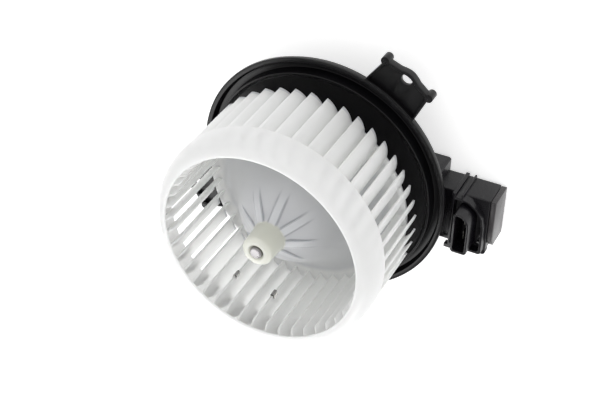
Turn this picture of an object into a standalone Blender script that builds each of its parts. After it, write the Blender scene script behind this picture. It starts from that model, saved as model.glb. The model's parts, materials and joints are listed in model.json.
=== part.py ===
"""Car cabin blower motor: a squirrel-cage fan wheel on a brushed motor in a moulded flange.

Metres, +Z along the fan's axis from the rear cover to the inlet, +X towards the connector box.
The origin is the centre of the rear cover's flat back face.
"""

from math import atan2, cos, hypot, pi, radians, sin, sqrt

import bmesh
import bpy
from mathutils import Matrix, Vector

# Fits
FIT = 0.0003
MERGE = 0.00001
OVERLAP = 0.0010

# Fan wheel
WHEEL_DIAMETER = 0.1500
BLADE_COUNT = 43
BLADE_DEPTH = 0.01225
BLADE_THICKNESS = 0.0012
BLADE_INLET_ANGLE = radians(10.0)
BLADE_SWEEP = radians(9.4)
BLADE_START = radians(4.8)
BLADE_REAR_RISE = 0.0024
WHEEL_CLEARANCE = 0.0175
WINDOW_LENGTH = 0.0480
RING_SKIRT = 0.0050
RING_CROWN = 0.0158
RING_WALL = 0.0018
MOUTH_RING_WIDTH = 0.0101
CROWN_SLOPE = 1.5

# Hub of the wheel. Its dish clears the can's top edge by (outward, upward) distances at two points,
# and ends in a foot given by shares of the way out to the rim and heights above it
HUB_WALL = 0.0020
HUB_RIM_HEIGHT = 0.0034
HUB_GRIP = 0.0065
HUB_NOSE_CLEARANCE = 0.0190
HUB_SHOULDER_CLEARANCE = (-0.0038, 0.0135)
HUB_FLANK_CLEARANCE = (0.0095, -0.0044)
HUB_FOOT = ((0.456, 0.0044), (0.826, 0.0))
HUB_RIB_COUNT = 8
HUB_RIB_START = radians(-9.0)
HUB_RIB_WIDTH = 0.0055
HUB_RIB_PROUD = 0.0015
HUB_RIB_LENGTH = 0.0175
BOSS_FOOT_DIAMETER = 0.0210
BOSS_FACE_DIAMETER = 0.0200
BOSS_HEIGHT = 0.0180
BOSS_ROUNDING = 0.0015
BOSS_SLEEVE_WALL = 0.0030
BOSS_SLEEVE_DEPTH = 0.0090
BORE_FLARE = 0.0010

# Balance clips on the blades' inner edges: which blade, and how far up from the blades' rear ends
CLIP_SEATS = ((-15, 0.0382), (-12, 0.0353))
CLIP_LENGTH = 0.0050
CLIP_THICKNESS = 0.0005
CLIP_REACH_SHARE = 0.14
CLIP_NOSE_SHARE = 0.7

# Flange
RIM_HEIGHT = 0.0363
RIM_DIAMETER = 0.1718
RIM_WIDTH = 0.0032
RIM_THICKNESS = 0.0025
RIM_EASE = 0.0005
GROOVE_WIDTH = 0.0054
GROOVE_DEPTH = 0.0050
GROOVE_WALL = 0.0019
GROOVE_DRAFT = 0.00125
RIDGE_WIDTH = 0.0015
RIDGE_HEIGHT = 0.0036
RIDGE_FOOT_SHARE = 0.6
FLANGE_WALL = 0.0024
RIDGE_BACKING = 0.0008
DISH_LOW = 0.0010
DISH_HIGH = 0.0102
DISH_CURVE = 2.5
DISH_SHARES = (0.06, 0.4, 0.7, 0.88)
CUP_WALL = 0.0025
CUP_RISE = 0.0185
CUP_LIP = 0.0020
FLANGE_RIB_PITCH = 30
FLANGE_RIB_THICKNESS = 0.0018
EAR_ANGLES = (radians(58.6), radians(-88.0), radians(-157.0))
EAR_LENGTH = 0.0236
EAR_TIP_LENGTH = 0.0075
EAR_HALF_WIDTH = 0.0202
EAR_TAPER = 0.0027
EAR_CORNER = 0.0035
EAR_CORNER_SHARE = 0.82
EAR_TIP_ROUNDING = ((0.0014, 0.26), (0.0004, 0.12))
EAR_TIP_WALL = 0.0024
EAR_THICKNESS = 0.0051
EAR_STEP = 0.0004
EAR_WALL = 0.0015
EAR_POCKET_DEPTH = 0.0026
EAR_BOLT_HOLE = 0.0072
EAR_BOLT_SET_BACK = 0.0067
EAR_POST_DIAMETER = 0.0056
EAR_POST_LENGTH = 0.0024
EAR_POST_INSET = 0.0032
EAR_POST_SET_OUT = 0.0022

# Motor
SHAFT_DIAMETER = 0.0080
SHAFT_PROUD = 0.0009
SHAFT_CHAMFER = 0.0006
CAN_DIAMETER = 0.0620
CAN_WALL = 0.0016
CAN_LENGTH = 0.0660
CAN_SHOULDER = 0.0012
BEAD_HEIGHT = 0.0020
BEAD_PROUD = 0.0018
NOSE_LENGTH = 0.0070
END_PLATE_THICKNESS = 0.0017
BUSH_WALL = 0.0036
BUSH_LENGTH = 0.0062
POCKET_WALL = 0.0015
RETAINER_THICKNESS = 0.0006
RETAINER_RIM = 0.0055
RETAINER_CLEARANCE = 0.0009
WASHER_THICKNESS = 0.0009
WASHER_WALL = 0.0022
MAGNET_THICKNESS = 0.0076
MAGNET_LENGTH_SHARE = 0.636
MAGNET_SPAN = radians(130.0)
MAGNET_TOP_SHARE = 0.127
SPRING_STRIP = 0.0008
SPRING_TONGUE = 0.0050
AIR_GAP = 0.0010
CORE_LENGTH_SHARE = 0.424
CORE_TOP_SHARE = 0.203
SLOT_COUNT = 8
SLOT_WIDTH_SHARE = 0.244
SLOT_DEPTH_SHARE = 0.512
WINDING_OVERHANG_SHARE = 0.121
COMMUTATOR_DIAMETER = 0.0180
RISER_PROUD = 0.0015
RISER_LENGTH = 0.0025
CARD_THICKNESS = 0.0018
CARD_CLEARANCE = 0.0015
BRUSH_WIDTH = 0.0050
BRUSH_HEIGHT = 0.0050
BRUSH_SHARE = 0.644
HOLDER_WALL = 0.0010
HOLDER_MARGIN = 0.0067
BRUSH_SPRING_WIRE = 0.0006
BRUSH_SPRING_TURNS = 3.5

# What carries the motor
ISOLATOR_THICKNESS = 0.0034
ISOLATOR_HEIGHT = 0.0094
ISOLATOR_LIP = 0.0020
ISOLATOR_LIP_WIDTH = 0.0070
COVER_THICKNESS = 0.0032
SPIGOT_HEIGHT = 0.0065
SPIGOT_WALL = 0.0022
VENT_COUNT = 8
VENT_WIDTH = 0.0036
VENT_INNER = 0.0120
VENT_OUTER = 0.0260
LUG_ANGLES = (radians(60.0), radians(180.0), radians(300.0))
LUG_DIAMETER = 0.0084
LUG_OFFSET = 0.0027
LUG_HEIGHT = 0.0150
SCREW_DIAMETER = 0.0030
SCREW_LENGTH = 0.0100
SCREW_HEAD_DIAMETER = 0.0056
SCREW_HEAD_HEIGHT = 0.0015
SCREW_RECESS = 0.0002

# Connector box behind the flange, and its neck to the cup
BOX_BASE = 0.0019
BOX_HEIGHT = 0.0204
BOX_START = 0.0748
BOX_LENGTH = 0.0362
BOX_LOWER_Y = -0.0300
BOX_UPPER_Y = 0.0095
BOX_WALL = 0.0020
BOX_LOWER_WALL = 0.0050
BOX_EDGE = 0.0006
NECK_LOWER_Y = -0.0220
NECK_UPPER_Y = 0.0197
NECK_HEIGHT = 0.0224
NECK_CORNER = 0.0012
TAB_REACH = 0.0090
TAB_LENGTH = 0.0090
TAB_THICKNESS = 0.0030
TAB_X = 0.0640
TAB_BOSS_DIAMETER = 0.0076
COVER_PLATE = 0.0035
COVER_PLATE_CHAMFER = (0.0060, 0.0036)
COVER_PLATE_LAP = 0.0015
COVER_FRAME_DEPTH = 0.0030
COVER_FRAME_WALL = 0.0012

# Plug socket on the box
SKIRT_LEFT = 0.0876
SKIRT_RIGHT = 0.1099
SKIRT_LOWER_Y = -0.0295
SKIRT_UPPER_Y = 0.0096
SKIRT_HEIGHT = 0.0060
SKIRT_WALL = 0.0015
SKIRT_BEND = (0.0175, 0.0190)
TUBE_LEFT = 0.0930
TUBE_RIGHT = 0.1036
TUBE_LOWER_Y = -0.0250
TUBE_UPPER_Y = 0.0049
TUBE_HEIGHT = 0.0164
TUBE_WALL = 0.0013
TUBE_BEND = (0.0078, 0.0088)
D_CORNER = 0.0012
KEY_THICKNESS = 0.0012
KEY_REACH = 0.0018
FACE_RIDGES = ((0.0873, 0.0025), (0.0934, 0.0013))
FACE_RIDGE_PROUD = 0.0027
DIMPLE_DIAMETER = 0.0035
DIMPLE_DEPTH = 0.0008
DIMPLE_PLACE = (0.0837, -0.0253)
FOOT_DIAMETER = 0.0050
FOOT_LENGTH = 0.0050
FOOT_PLACE = (0.1087, -0.0312)
HOOK_LEFT = 0.0830
HOOK_RIGHT = 0.0890
HOOK_REACH = 0.0068
HOOK_THICKNESS = 0.0022

# Electrical parts in the box, and the leads to the brushes
TERMINAL_WIDTH = 0.0063
TERMINAL_THICKNESS = 0.0008
TERMINAL_PITCH = 0.0115
TERMINAL_SET_BACK = 0.0078
BOARD_THICKNESS = 0.0016
BOARD_HEIGHT = 0.0028
BOARD_MARGIN = 0.0012
PILLAR_DIAMETER = 0.0040
CHOKE_DIAMETER = 0.0080
CHOKE_LENGTH = 0.0160
CHOKE_CORE_SHARE = 0.6
CHOKE_X = 0.0860
CAPACITOR_SIZE = (0.0050, 0.0100, 0.0070)
CAPACITOR_X = 0.0945
LEAD_DIAMETER = 0.0022
LEAD_SPACING = 0.0080
LEAD_END_MARGIN = 0.0074
LEAD_BEND = 0.0024
DUCT_WIDTH = 0.0160
DUCT_HEIGHT = 0.0050

# How finely round things are divided
HUB_STEPS = BLADE_COUNT
RING_STEPS = 2 * BLADE_COUNT
FLANGE_STEPS = 43
MOTOR_STEPS = 24
SMALL_STEPS = 16
TINY_STEPS = 10
CROWN_STEPS = 4
BEND_STEPS = 4
BLADE_STEPS = 3
MAGNET_STEPS = 10
ARC_STEPS = 4
TOOTH_STEPS = 3
TURN_STEPS = 8
LEAD_STEP_RATIO = 2

# Radii that follow from the sizes above
WHEEL_RADIUS = WHEEL_DIAMETER / 2
BLADE_INNER = WHEEL_RADIUS - BLADE_DEPTH
BLADE_TIP = WHEEL_RADIUS - FIT - BLADE_THICKNESS / 2
MOUTH_RADIUS = WHEEL_RADIUS - MOUTH_RING_WIDTH
MOUTH_CENTRE = MOUTH_RADIUS + RING_WALL / 2
HUB_RIM = BLADE_INNER + HUB_GRIP
BOSS_FOOT = BOSS_FOOT_DIAMETER / 2
SHAFT_RADIUS = SHAFT_DIAMETER / 2
BORE = SHAFT_RADIUS + FIT
CAN_RADIUS = CAN_DIAMETER / 2
CAN_BORE = CAN_RADIUS - CAN_WALL
BUSH_RADIUS = BORE + BUSH_WALL
POCKET_BORE = BUSH_RADIUS + FIT
POCKET_RADIUS = POCKET_BORE + POCKET_WALL
MAGNET_OUTER = CAN_BORE - FIT
MAGNET_INNER = MAGNET_OUTER - MAGNET_THICKNESS
CORE_RADIUS = MAGNET_INNER - AIR_GAP
SLOT_WIDTH = CORE_RADIUS * SLOT_WIDTH_SHARE
SLOT_DEPTH = CORE_RADIUS * SLOT_DEPTH_SHARE
COMMUTATOR_RADIUS = COMMUTATOR_DIAMETER / 2
CARD_BORE = COMMUTATOR_RADIUS + CARD_CLEARANCE
BRUSH_TIP = COMMUTATOR_RADIUS + FIT
HOLDER_START = CARD_BORE + RISER_PROUD
HOLDER_END = CAN_BORE - HOLDER_MARGIN
BRUSH_SPRING_END = HOLDER_END - HOLDER_WALL - FIT
BRUSH_LENGTH = (BRUSH_SPRING_END - BRUSH_TIP - FIT) * BRUSH_SHARE
LEAD_END_RADIUS = CAN_BORE - LEAD_END_MARGIN
ISOLATOR_INNER = CAN_RADIUS + FIT
ISOLATOR_OUTER = ISOLATOR_INNER + ISOLATOR_THICKNESS
CUP_BORE = ISOLATOR_OUTER + FIT
CUP_RADIUS = CUP_BORE + CUP_WALL
RIM_RADIUS = RIM_DIAMETER / 2
GROOVE_OUTER = RIM_RADIUS - RIM_WIDTH
GROOVE_INNER = GROOVE_OUTER - GROOVE_WIDTH
RIDGE_INNER = GROOVE_INNER - RIDGE_WIDTH
RIDGE_FOOT = RIDGE_INNER - RIDGE_WIDTH / 2
EAR_REACH = RIM_RADIUS + EAR_LENGTH
EAR_SHOULDER = EAR_REACH - EAR_TIP_LENGTH
EAR_BOLT_RADIUS = EAR_REACH - EAR_BOLT_SET_BACK
LUG_RADIUS = CUP_RADIUS + LUG_OFFSET
SCREW_RADIUS = SCREW_DIAMETER / 2
SCREW_HOLE = SCREW_RADIUS + FIT
SCREW_HEAD_RADIUS = SCREW_HEAD_DIAMETER / 2

# Heights that follow, from the rear cover upwards
CUP_BASE = COVER_THICKNESS + FIT
SPIGOT_TOP = COVER_THICKNESS + SPIGOT_HEIGHT
LOWER_ISOLATOR_BASE = SPIGOT_TOP + FIT
END_PLATE_BASE = LOWER_ISOLATOR_BASE + ISOLATOR_LIP + FIT
END_PLATE_TOP = END_PLATE_BASE + END_PLATE_THICKNESS
CAN_BASE = END_PLATE_TOP + FIT
CAN_TOP = CAN_BASE + CAN_LENGTH
NOSE_TOP = CAN_TOP + NOSE_LENGTH
CAN_CEILING = CAN_TOP - CAN_WALL
CUP_TOP = RIM_HEIGHT + CUP_RISE
LIP_UNDERSIDE = CUP_TOP - CUP_WALL
UPPER_ISOLATOR_TOP = LIP_UNDERSIDE - FIT
BEAD_TOP = UPPER_ISOLATOR_TOP - ISOLATOR_HEIGHT - FIT
UPPER_RETAINER_TOP = CAN_CEILING - FIT
UPPER_RETAINER_BASE = UPPER_RETAINER_TOP - RETAINER_THICKNESS
UPPER_WASHER_BASE = UPPER_RETAINER_BASE - FIT - WASHER_THICKNESS
POCKET_DEPTH = BUSH_LENGTH + RETAINER_THICKNESS + 3 * FIT
POCKET_FLOOR = END_PLATE_BASE - POCKET_DEPTH + END_PLATE_THICKNESS
LOWER_BUSH_BASE = POCKET_FLOOR + FIT
LOWER_RETAINER_BASE = LOWER_BUSH_BASE + BUSH_LENGTH + FIT
LOWER_WASHER_BASE = LOWER_RETAINER_BASE + RETAINER_THICKNESS + FIT
COMMUTATOR_BASE = LOWER_WASHER_BASE + WASHER_THICKNESS + FIT
MAGNET_LENGTH = CAN_LENGTH * MAGNET_LENGTH_SHARE
MAGNET_TOP = CAN_CEILING - CAN_LENGTH * MAGNET_TOP_SHARE
CORE_LENGTH = CAN_LENGTH * CORE_LENGTH_SHARE
CORE_BASE = CAN_CEILING - CAN_LENGTH * CORE_TOP_SHARE - CORE_LENGTH
WINDING_OVERHANG = CAN_LENGTH * WINDING_OVERHANG_SHARE
CARD_BASE = END_PLATE_TOP + FIT
HOLDER_BASE = CARD_BASE + CARD_THICKNESS + FIT
WHEEL_REAR = RIM_HEIGHT + WHEEL_CLEARANCE
RING_REAR = WHEEL_REAR + WINDOW_LENGTH
CROWN_START = RING_REAR + RING_SKIRT
HUB_RIM_TOP = WHEEL_REAR + HUB_RIM_HEIGHT
BOSS_BASE = NOSE_TOP + HUB_NOSE_CLEARANCE
BOSS_TOP = BOSS_BASE + BOSS_HEIGHT
SHAFT_TOP = BOSS_TOP + SHAFT_PROUD
SHAFT_BASE = POCKET_FLOOR + FIT
BOX_TOP = BOX_BASE + BOX_HEIGHT
NECK_TOP = BOX_BASE + NECK_HEIGHT
BOX_END = BOX_START + BOX_LENGTH
BOX_FLOOR = BOX_BASE + BOX_WALL
BOX_CEILING = BOX_TOP - BOX_WALL
BOX_CAVITY_LOWER = BOX_LOWER_Y + BOX_LOWER_WALL
BOX_CAVITY_UPPER = BOX_UPPER_Y - BOX_WALL
RIB_BASE = NECK_TOP + FIT
BOARD_BASE = BOX_FLOOR + BOARD_HEIGHT + FIT
BOARD_TOP = BOARD_BASE + BOARD_THICKNESS
TERMINAL_X = (TUBE_LEFT + TUBE_RIGHT) / 2
TERMINAL_Y = (TUBE_LOWER_Y + TUBE_UPPER_Y) / 2
LEAD_RADIUS = LEAD_DIAMETER / 2
LEAD_HOLE = LEAD_RADIUS + FIT
DUCT_BASE = SPIGOT_TOP - DUCT_HEIGHT

# Finishes as colour, roughness and metallic value
WHITE_PLASTIC = ((0.86, 0.87, 0.84), 0.35, 0.0)
BLACK_PLASTIC = ((0.030, 0.029, 0.033), 0.42, 0.0)
BOX_PLASTIC = ((0.045, 0.044, 0.048), 0.45, 0.0)
COVER_PLASTIC = ((0.36, 0.34, 0.33), 0.50, 0.0)
RUBBER = ((0.020, 0.020, 0.022), 0.80, 0.0)
STEEL = ((0.56, 0.55, 0.53), 0.28, 1.0)
DARK_STEEL = ((0.28, 0.28, 0.29), 0.40, 1.0)
BRONZE = ((0.52, 0.36, 0.20), 0.45, 1.0)
COPPER = ((0.72, 0.38, 0.22), 0.35, 1.0)
BRASS = ((0.70, 0.56, 0.30), 0.32, 1.0)
FERRITE = ((0.060, 0.060, 0.064), 0.60, 0.0)
CARBON = ((0.040, 0.038, 0.036), 0.55, 0.0)
CARD_BROWN = ((0.26, 0.15, 0.07), 0.60, 0.0)
BOARD_GREEN = ((0.05, 0.16, 0.08), 0.45, 0.0)
NYLON = ((0.62, 0.60, 0.54), 0.50, 0.0)


def empty_scene():
    """Removes what a new file holds."""
    for item in list(bpy.data.objects):
        bpy.data.objects.remove(item, do_unlink=True)


def new_collection(name):
    """A collection in the scene."""
    group = bpy.data.collections.new(name)
    bpy.context.scene.collection.children.link(group)
    return group


empty_scene()
PART = new_collection("car_cabin_blower_motor")
GUIDES = new_collection("cutters_and_joiners")


def add(name, mesh, guide=False, at=(0.0, 0.0, 0.0)):
    """An object in the part's collection, or a hidden guide for a Boolean."""
    item = bpy.data.objects.new(name, mesh)
    item.location = at
    if guide:
        GUIDES.objects.link(item)
        item.hide_render = True
        item.display_type = "WIRE"
    else:
        PART.objects.link(item)
    return item


def finish(item, look):
    """The object's own Principled material, named after it."""
    colour, roughness, metallic = look
    material = bpy.data.materials.new(item.name + "_finish")
    material.use_nodes = True
    shader = material.node_tree.nodes["Principled BSDF"]
    shader.inputs["Base Color"].default_value = (*colour, 1.0)
    shader.inputs["Roughness"].default_value = roughness
    shader.inputs["Metallic"].default_value = metallic
    material.diffuse_color = (*colour, 1.0)
    item.data.materials.append(material)
    return item


def ride(items, empty):
    """Parents the objects to the empty on their body's axis."""
    for item in items:
        item.parent = empty
    return items


def from_bmesh(name, build, guide=False, at=(0.0, 0.0, 0.0)):
    """An object whose mesh the given function fills."""
    mesh = bpy.data.meshes.new(name)
    shape = bmesh.new()
    build(shape)
    shape.to_mesh(mesh)
    shape.free()
    return add(name, mesh, guide, at)


def soften(item, width, steps=1):
    """Rounds an object's sharp edges."""
    bevel = item.modifiers.new("Rounded edges", "BEVEL")
    bevel.width = width
    bevel.segments = steps
    bevel.limit_method = "ANGLE"
    bevel.angle_limit = radians(40)
    return item


def boolean(target, guide, operation):
    """Joins the guide to the target, or cuts it away."""
    step = target.modifiers.new(operation.title() + " " + guide.name, "BOOLEAN")
    step.operation = operation
    step.solver = "EXACT"
    step.object = guide
    return target


def join(target, *guides):
    """Joins each guide to the target."""
    for guide in guides:
        boolean(target, guide, "UNION")
    return target


def cut(target, *guides):
    """Cuts each guide from the target."""
    for guide in guides:
        boolean(target, guide, "DIFFERENCE")
    return target


def turned(name, outline, steps, base=0.0, guide=False, solid=False):
    """An outline of (radius, height) pairs turned round Z, its outer side running down.

    A solid one starts and ends on the axis, and any other outline is a closed loop.
    """
    mesh = bpy.data.meshes.new(name)
    count = len(outline)
    edges = [(index, (index + 1) % count) for index in range(count - 1 if solid else count)]
    mesh.from_pydata([(radius, 0.0, height) for radius, height in outline], edges, [])
    item = add(name, mesh, guide, (0.0, 0.0, base))
    screw = item.modifiers.new("Turned", "SCREW")
    screw.steps = steps
    screw.render_steps = steps
    screw.use_merge_vertices = True
    screw.merge_threshold = MERGE
    return item


def sleeve(name, inner, outer, height, steps, base=0.0, guide=False):
    """A plain ring or bush."""
    outline = [(outer, height), (outer, 0.0), (inner, 0.0), (inner, height)]
    return turned(name, outline, steps, base, guide)


def curve_mesh(name, curve):
    """The welded mesh of a curve, its faces turned outwards."""
    drawn = bpy.data.objects.new(name + "_curve", curve)
    GUIDES.objects.link(drawn)
    bpy.context.view_layer.update()
    graph = bpy.context.evaluated_depsgraph_get()
    mesh = bpy.data.meshes.new_from_object(drawn.evaluated_get(graph))
    bpy.data.objects.remove(drawn, do_unlink=True)
    shape = bmesh.new()
    shape.from_mesh(mesh)
    bmesh.ops.remove_doubles(shape, verts=shape.verts, dist=MERGE)
    bmesh.ops.recalc_face_normals(shape, faces=shape.faces)
    shape.to_mesh(mesh)
    shape.free()
    mesh.name = name
    return mesh


def plate(name, outline, low, high, guide=False, holes=(), turn=None):
    """A flat outline of (x, y) pairs between two heights, as a filled curve made a mesh."""
    curve = bpy.data.curves.new(name, "CURVE")
    curve.dimensions = "2D"
    curve.fill_mode = "BOTH"
    curve.extrude = (high - low) / 2
    for loop in (outline, *holes):
        spline = curve.splines.new("POLY")
        spline.points.add(len(loop) - 1)
        for point, (x, y) in zip(spline.points, loop):
            point.co = (x, y, 0.0, 1.0)
        spline.use_cyclic_u = True
    mesh = curve_mesh(name, curve)
    lift = Matrix.Translation((0.0, 0.0, (high + low) / 2))
    mesh.transform(lift if turn is None else turn @ lift)
    return add(name, mesh, guide)


def box(name, low, high, guide=False):
    """A block between two corners."""
    size = Vector(high) - Vector(low)
    middle = (Vector(high) + Vector(low)) / 2
    place = Matrix.Translation(middle) @ Matrix.Diagonal((*size, 1.0))
    return from_bmesh(name, lambda shape: bmesh.ops.create_cube(shape, size=1.0, matrix=place), guide)


def rods(name, centres, radius, low, high, steps=SMALL_STEPS, guide=True):
    """One upright cylinder at each (x, y) centre, all in one object."""
    def build(shape):
        for x, y in centres:
            place = Matrix.Translation((x, y, (low + high) / 2))
            bmesh.ops.create_cone(shape, cap_ends=True, segments=steps, radius1=radius,
                                  radius2=radius, depth=high - low, matrix=place)
    return from_bmesh(name, build, guide)


def repeated(name, source, places):
    """A guide made of one copy of another guide's mesh for each matrix."""
    def build(shape):
        for place in places:
            before = len(shape.verts)
            shape.from_mesh(source.data)
            shape.verts.ensure_lookup_table()
            bmesh.ops.transform(shape, verts=shape.verts[before:], matrix=place)
    item = from_bmesh(name, build, guide=True)
    bpy.data.objects.remove(source, do_unlink=True)
    return item


def about_axis(angle):
    """A turn round the fan's axis."""
    return Matrix.Rotation(angle, 4, "Z")


def at_angle(radius, angle):
    """A point at a radius and an angle round the axis."""
    return radius * cos(angle), radius * sin(angle)


def arc(radius, start, end, steps):
    """Points of an arc round the axis, both ends included."""
    return [at_angle(radius, start + (end - start) * step / steps) for step in range(steps + 1)]


def quarter(centre, reach, steps, falling=True):
    """A quarter ellipse from above its centre to beside it, or the other way."""
    order = range(steps + 1)
    turns = [pi / 2 * (1 - step / steps) if falling else pi / 2 * step / steps for step in order]
    return [(centre[0] + reach[0] * cos(turn), centre[1] + reach[1] * sin(turn)) for turn in turns]


def wire(name, points, radius, sides=1):
    """A round wire along a smooth row of points, made a mesh with welded caps."""
    curve = bpy.data.curves.new(name, "CURVE")
    curve.dimensions = "3D"
    curve.bevel_depth = radius
    curve.bevel_resolution = sides
    curve.use_fill_caps = True
    spline = curve.splines.new("POLY")
    spline.points.add(len(points) - 1)
    for point, place in zip(spline.points, points):
        point.co = (*place, 1.0)
    return add(name, curve_mesh(name, curve))


def smooth_route(stops, spacing):
    """Points along a Catmull-Rom curve through the stops, about one each spacing."""
    stops = [Vector(stop) for stop in stops]
    ends = [2 * stops[0] - stops[1], *stops, 2 * stops[-1] - stops[-2]]
    route = []
    for before, start, end, after in zip(ends, ends[1:], ends[2:], ends[3:]):
        steps = max(1, round((end - start).length / spacing))
        for step in range(steps):
            t = step / steps
            route.append(0.5 * (2 * start + (end - before) * t
                                + (2 * before - 5 * start + 4 * end - after) * t ** 2
                                + (3 * start - before - 3 * end + after) * t ** 3))
    route.append(stops[-1])
    return route


# Fan wheel


def blade_place(share, side=0.0):
    """A point of the first blade's curved middle line, moved aside by the given distance.

    The line is the arc that leaves the inner edge at the inlet angle and reaches the tip's place.
    A share below 0 lies in front of the inner edge.
    """
    tip = at_angle(BLADE_TIP, BLADE_SWEEP)
    chord = atan2(tip[1], tip[0] - BLADE_INNER)
    bend = chord - BLADE_INLET_ANGLE
    radius = hypot(tip[0] - BLADE_INNER, tip[1]) / (2 * sin(bend))
    heading = BLADE_INLET_ANGLE + 2 * bend * share
    x = BLADE_INNER + radius * (sin(heading) - sin(BLADE_INLET_ANGLE))
    y = radius * (cos(BLADE_INLET_ANGLE) - cos(heading))
    return x - side * sin(heading), y + side * cos(heading)


def crown_middle(radius):
    """Height of the middle of the ring's wall at a radius, where the blades' front ends stop."""
    reach = WHEEL_RADIUS - RING_WALL / 2 - MOUTH_CENTRE
    share = min(1.0, max(0.0, (radius - MOUTH_CENTRE) / reach))
    height = CROWN_START + (RING_CROWN - RING_WALL / 2) * sqrt(1 - share ** 2)
    return height - max(0.0, MOUTH_CENTRE - radius) * CROWN_SLOPE


def fan_blades():
    """All the blades as one guide: each a curved sheet from the hub's rim up into the ring."""
    def build(shape):
        for index in range(BLADE_COUNT):
            before = len(shape.verts)
            bmesh.ops.create_grid(shape, x_segments=BLADE_STEPS, y_segments=1, size=0.5)
            shape.verts.ensure_lookup_table()
            sheet = shape.verts[before:]
            for vertex in sheet:
                share = vertex.co.x + 0.5
                x, y = blade_place(share)
                low = WHEEL_REAR + BLADE_REAR_RISE * (1 - share)
                high = crown_middle(hypot(x, y))
                vertex.co = (x, y, low + (high - low) * (vertex.co.y + 0.5))
            turn = about_axis(BLADE_START + 2 * pi * index / BLADE_COUNT)
            bmesh.ops.transform(shape, verts=sheet, matrix=turn)
    blades = from_bmesh("blades", build, guide=True)
    sheet = blades.modifiers.new("Blade thickness", "SOLIDIFY")
    sheet.thickness = BLADE_THICKNESS
    sheet.offset = 0.0
    return blades


def bell_mouth():
    """The ring: a skirt, a crown over the blades' front ends and a rounded lip round the inlet."""
    crown = (MOUTH_CENTRE, CROWN_START)
    outside = quarter(crown, (WHEEL_RADIUS - MOUTH_CENTRE, RING_CROWN), CROWN_STEPS)
    inner_reach = (WHEEL_RADIUS - RING_WALL - MOUTH_CENTRE, RING_CROWN - RING_WALL)
    inside = quarter(crown, inner_reach, CROWN_STEPS // 2, falling=False)
    skirt = [(WHEEL_RADIUS, RING_REAR), (WHEEL_RADIUS - RING_WALL, RING_REAR)]
    top = CROWN_START + RING_CROWN
    lip = [(MOUTH_RADIUS, top - RING_WALL / 2)]
    return turned("bell_mouth", outside + skirt + inside + lip, RING_STEPS, guide=True)


def hub_face():
    """The dished front of the hub from the boss's foot to the rim, as (radius, height) pairs."""
    points = [(BOSS_FOOT, BOSS_BASE)]
    points += [(CAN_RADIUS + out, CAN_TOP + up) for out, up in (HUB_SHOULDER_CLEARANCE, HUB_FLANK_CLEARANCE)]
    flank = points[-1][0]
    points += [(flank + (HUB_RIM - flank) * share, HUB_RIM_TOP + rise) for share, rise in HUB_FOOT]
    return points + [(HUB_RIM, HUB_RIM_TOP)]


def hub_height(radius):
    """Height of the hub's front at a radius, carried on in a straight line inside the boss."""
    points = hub_face()
    for (near, high), (far, low) in zip(points, points[1:]):
        if radius <= far:
            break
    return high + (low - high) * (radius - near) / (far - near)


def hub_outline():
    """Section of the hub: boss, dish and rim in front, and the same dish one wall behind."""
    face = hub_face()
    back = []
    for index, (radius, height) in enumerate(face[1:], start=1):
        before = face[index - 1]
        after = face[min(index + 1, len(face) - 1)]
        run = hypot(after[0] - before[0], after[1] - before[1])
        across = ((before[1] - after[1]) / run, (after[0] - before[0]) / run)
        back.append((radius - HUB_WALL * across[0], height - HUB_WALL * across[1]))
    back[-1] = (HUB_RIM, HUB_RIM_TOP - HUB_WALL)
    sleeve_radius = BORE + BOSS_SLEEVE_WALL
    sleeve_base = BOSS_BASE - BOSS_SLEEVE_DEPTH
    root = (sleeve_radius, hub_height(sleeve_radius) - 2 * HUB_WALL)
    face_radius = BOSS_FACE_DIAMETER / 2
    boss = [(face_radius - BOSS_ROUNDING, BOSS_TOP), (face_radius, BOSS_TOP - BOSS_ROUNDING)]
    inside = [(sleeve_radius, sleeve_base), (BORE, sleeve_base), (BORE, BOSS_TOP - BORE_FLARE),
              (BORE + BORE_FLARE, BOSS_TOP)]
    return boss + face + back[::-1] + [root] + inside


def hub_ribs():
    """Flat-topped ribs that run out from the boss over the front of the hub."""
    start = BOSS_FOOT - OVERLAP
    end = BOSS_FOOT + HUB_RIB_LENGTH
    near_end = end - 2 * HUB_RIB_PROUD
    sink = HUB_WALL / 2
    outline = [(start, hub_height(start) + HUB_RIB_PROUD), (start, hub_height(start) - sink),
               (end, hub_height(end) - sink), (near_end, hub_height(near_end) + HUB_RIB_PROUD)]
    stand = Matrix.Rotation(pi / 2, 4, "X")
    rib = plate("hub_rib", outline, -HUB_RIB_WIDTH / 2, HUB_RIB_WIDTH / 2, guide=True, turn=stand)
    pitch = 2 * pi / HUB_RIB_COUNT
    places = [about_axis(HUB_RIB_START + pitch * index) for index in range(HUB_RIB_COUNT)]
    return repeated("hub_ribs", rib, places)


def fan_wheel():
    """The wheel, one moulding: hub, blades and bell mouth."""
    wheel = turned("fan_wheel", hub_outline(), HUB_STEPS)
    join(wheel, hub_ribs(), fan_blades(), bell_mouth())
    return finish(wheel, WHITE_PLASTIC)


def balance_clip(number, blade, height):
    """A spring-steel clip that straddles one blade's inner edge."""
    inner = BLADE_THICKNESS / 2 + FIT
    outer = inner + CLIP_THICKNESS
    front = -inner / BLADE_DEPTH * CLIP_NOSE_SHARE
    nose = -outer / BLADE_DEPTH * CLIP_NOSE_SHARE
    shares = [CLIP_REACH_SHARE * step / 2 for step in range(3)]
    outline = [blade_place(share, outer) for share in reversed(shares)]
    outline += [blade_place(nose, inner), blade_place(nose, -inner)]
    outline += [blade_place(share, -outer) for share in shares]
    outline += [blade_place(share, -inner) for share in reversed(shares)]
    outline += [blade_place(front, -inner), blade_place(front, inner)]
    outline += [blade_place(share, inner) for share in shares]
    turn = about_axis(BLADE_START + 2 * pi * blade / BLADE_COUNT)
    low = WHEEL_REAR + height - CLIP_LENGTH / 2
    clip = plate(f"balance_clip_{number}", outline, low, low + CLIP_LENGTH, turn=turn)
    return finish(clip, STEEL)


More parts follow.
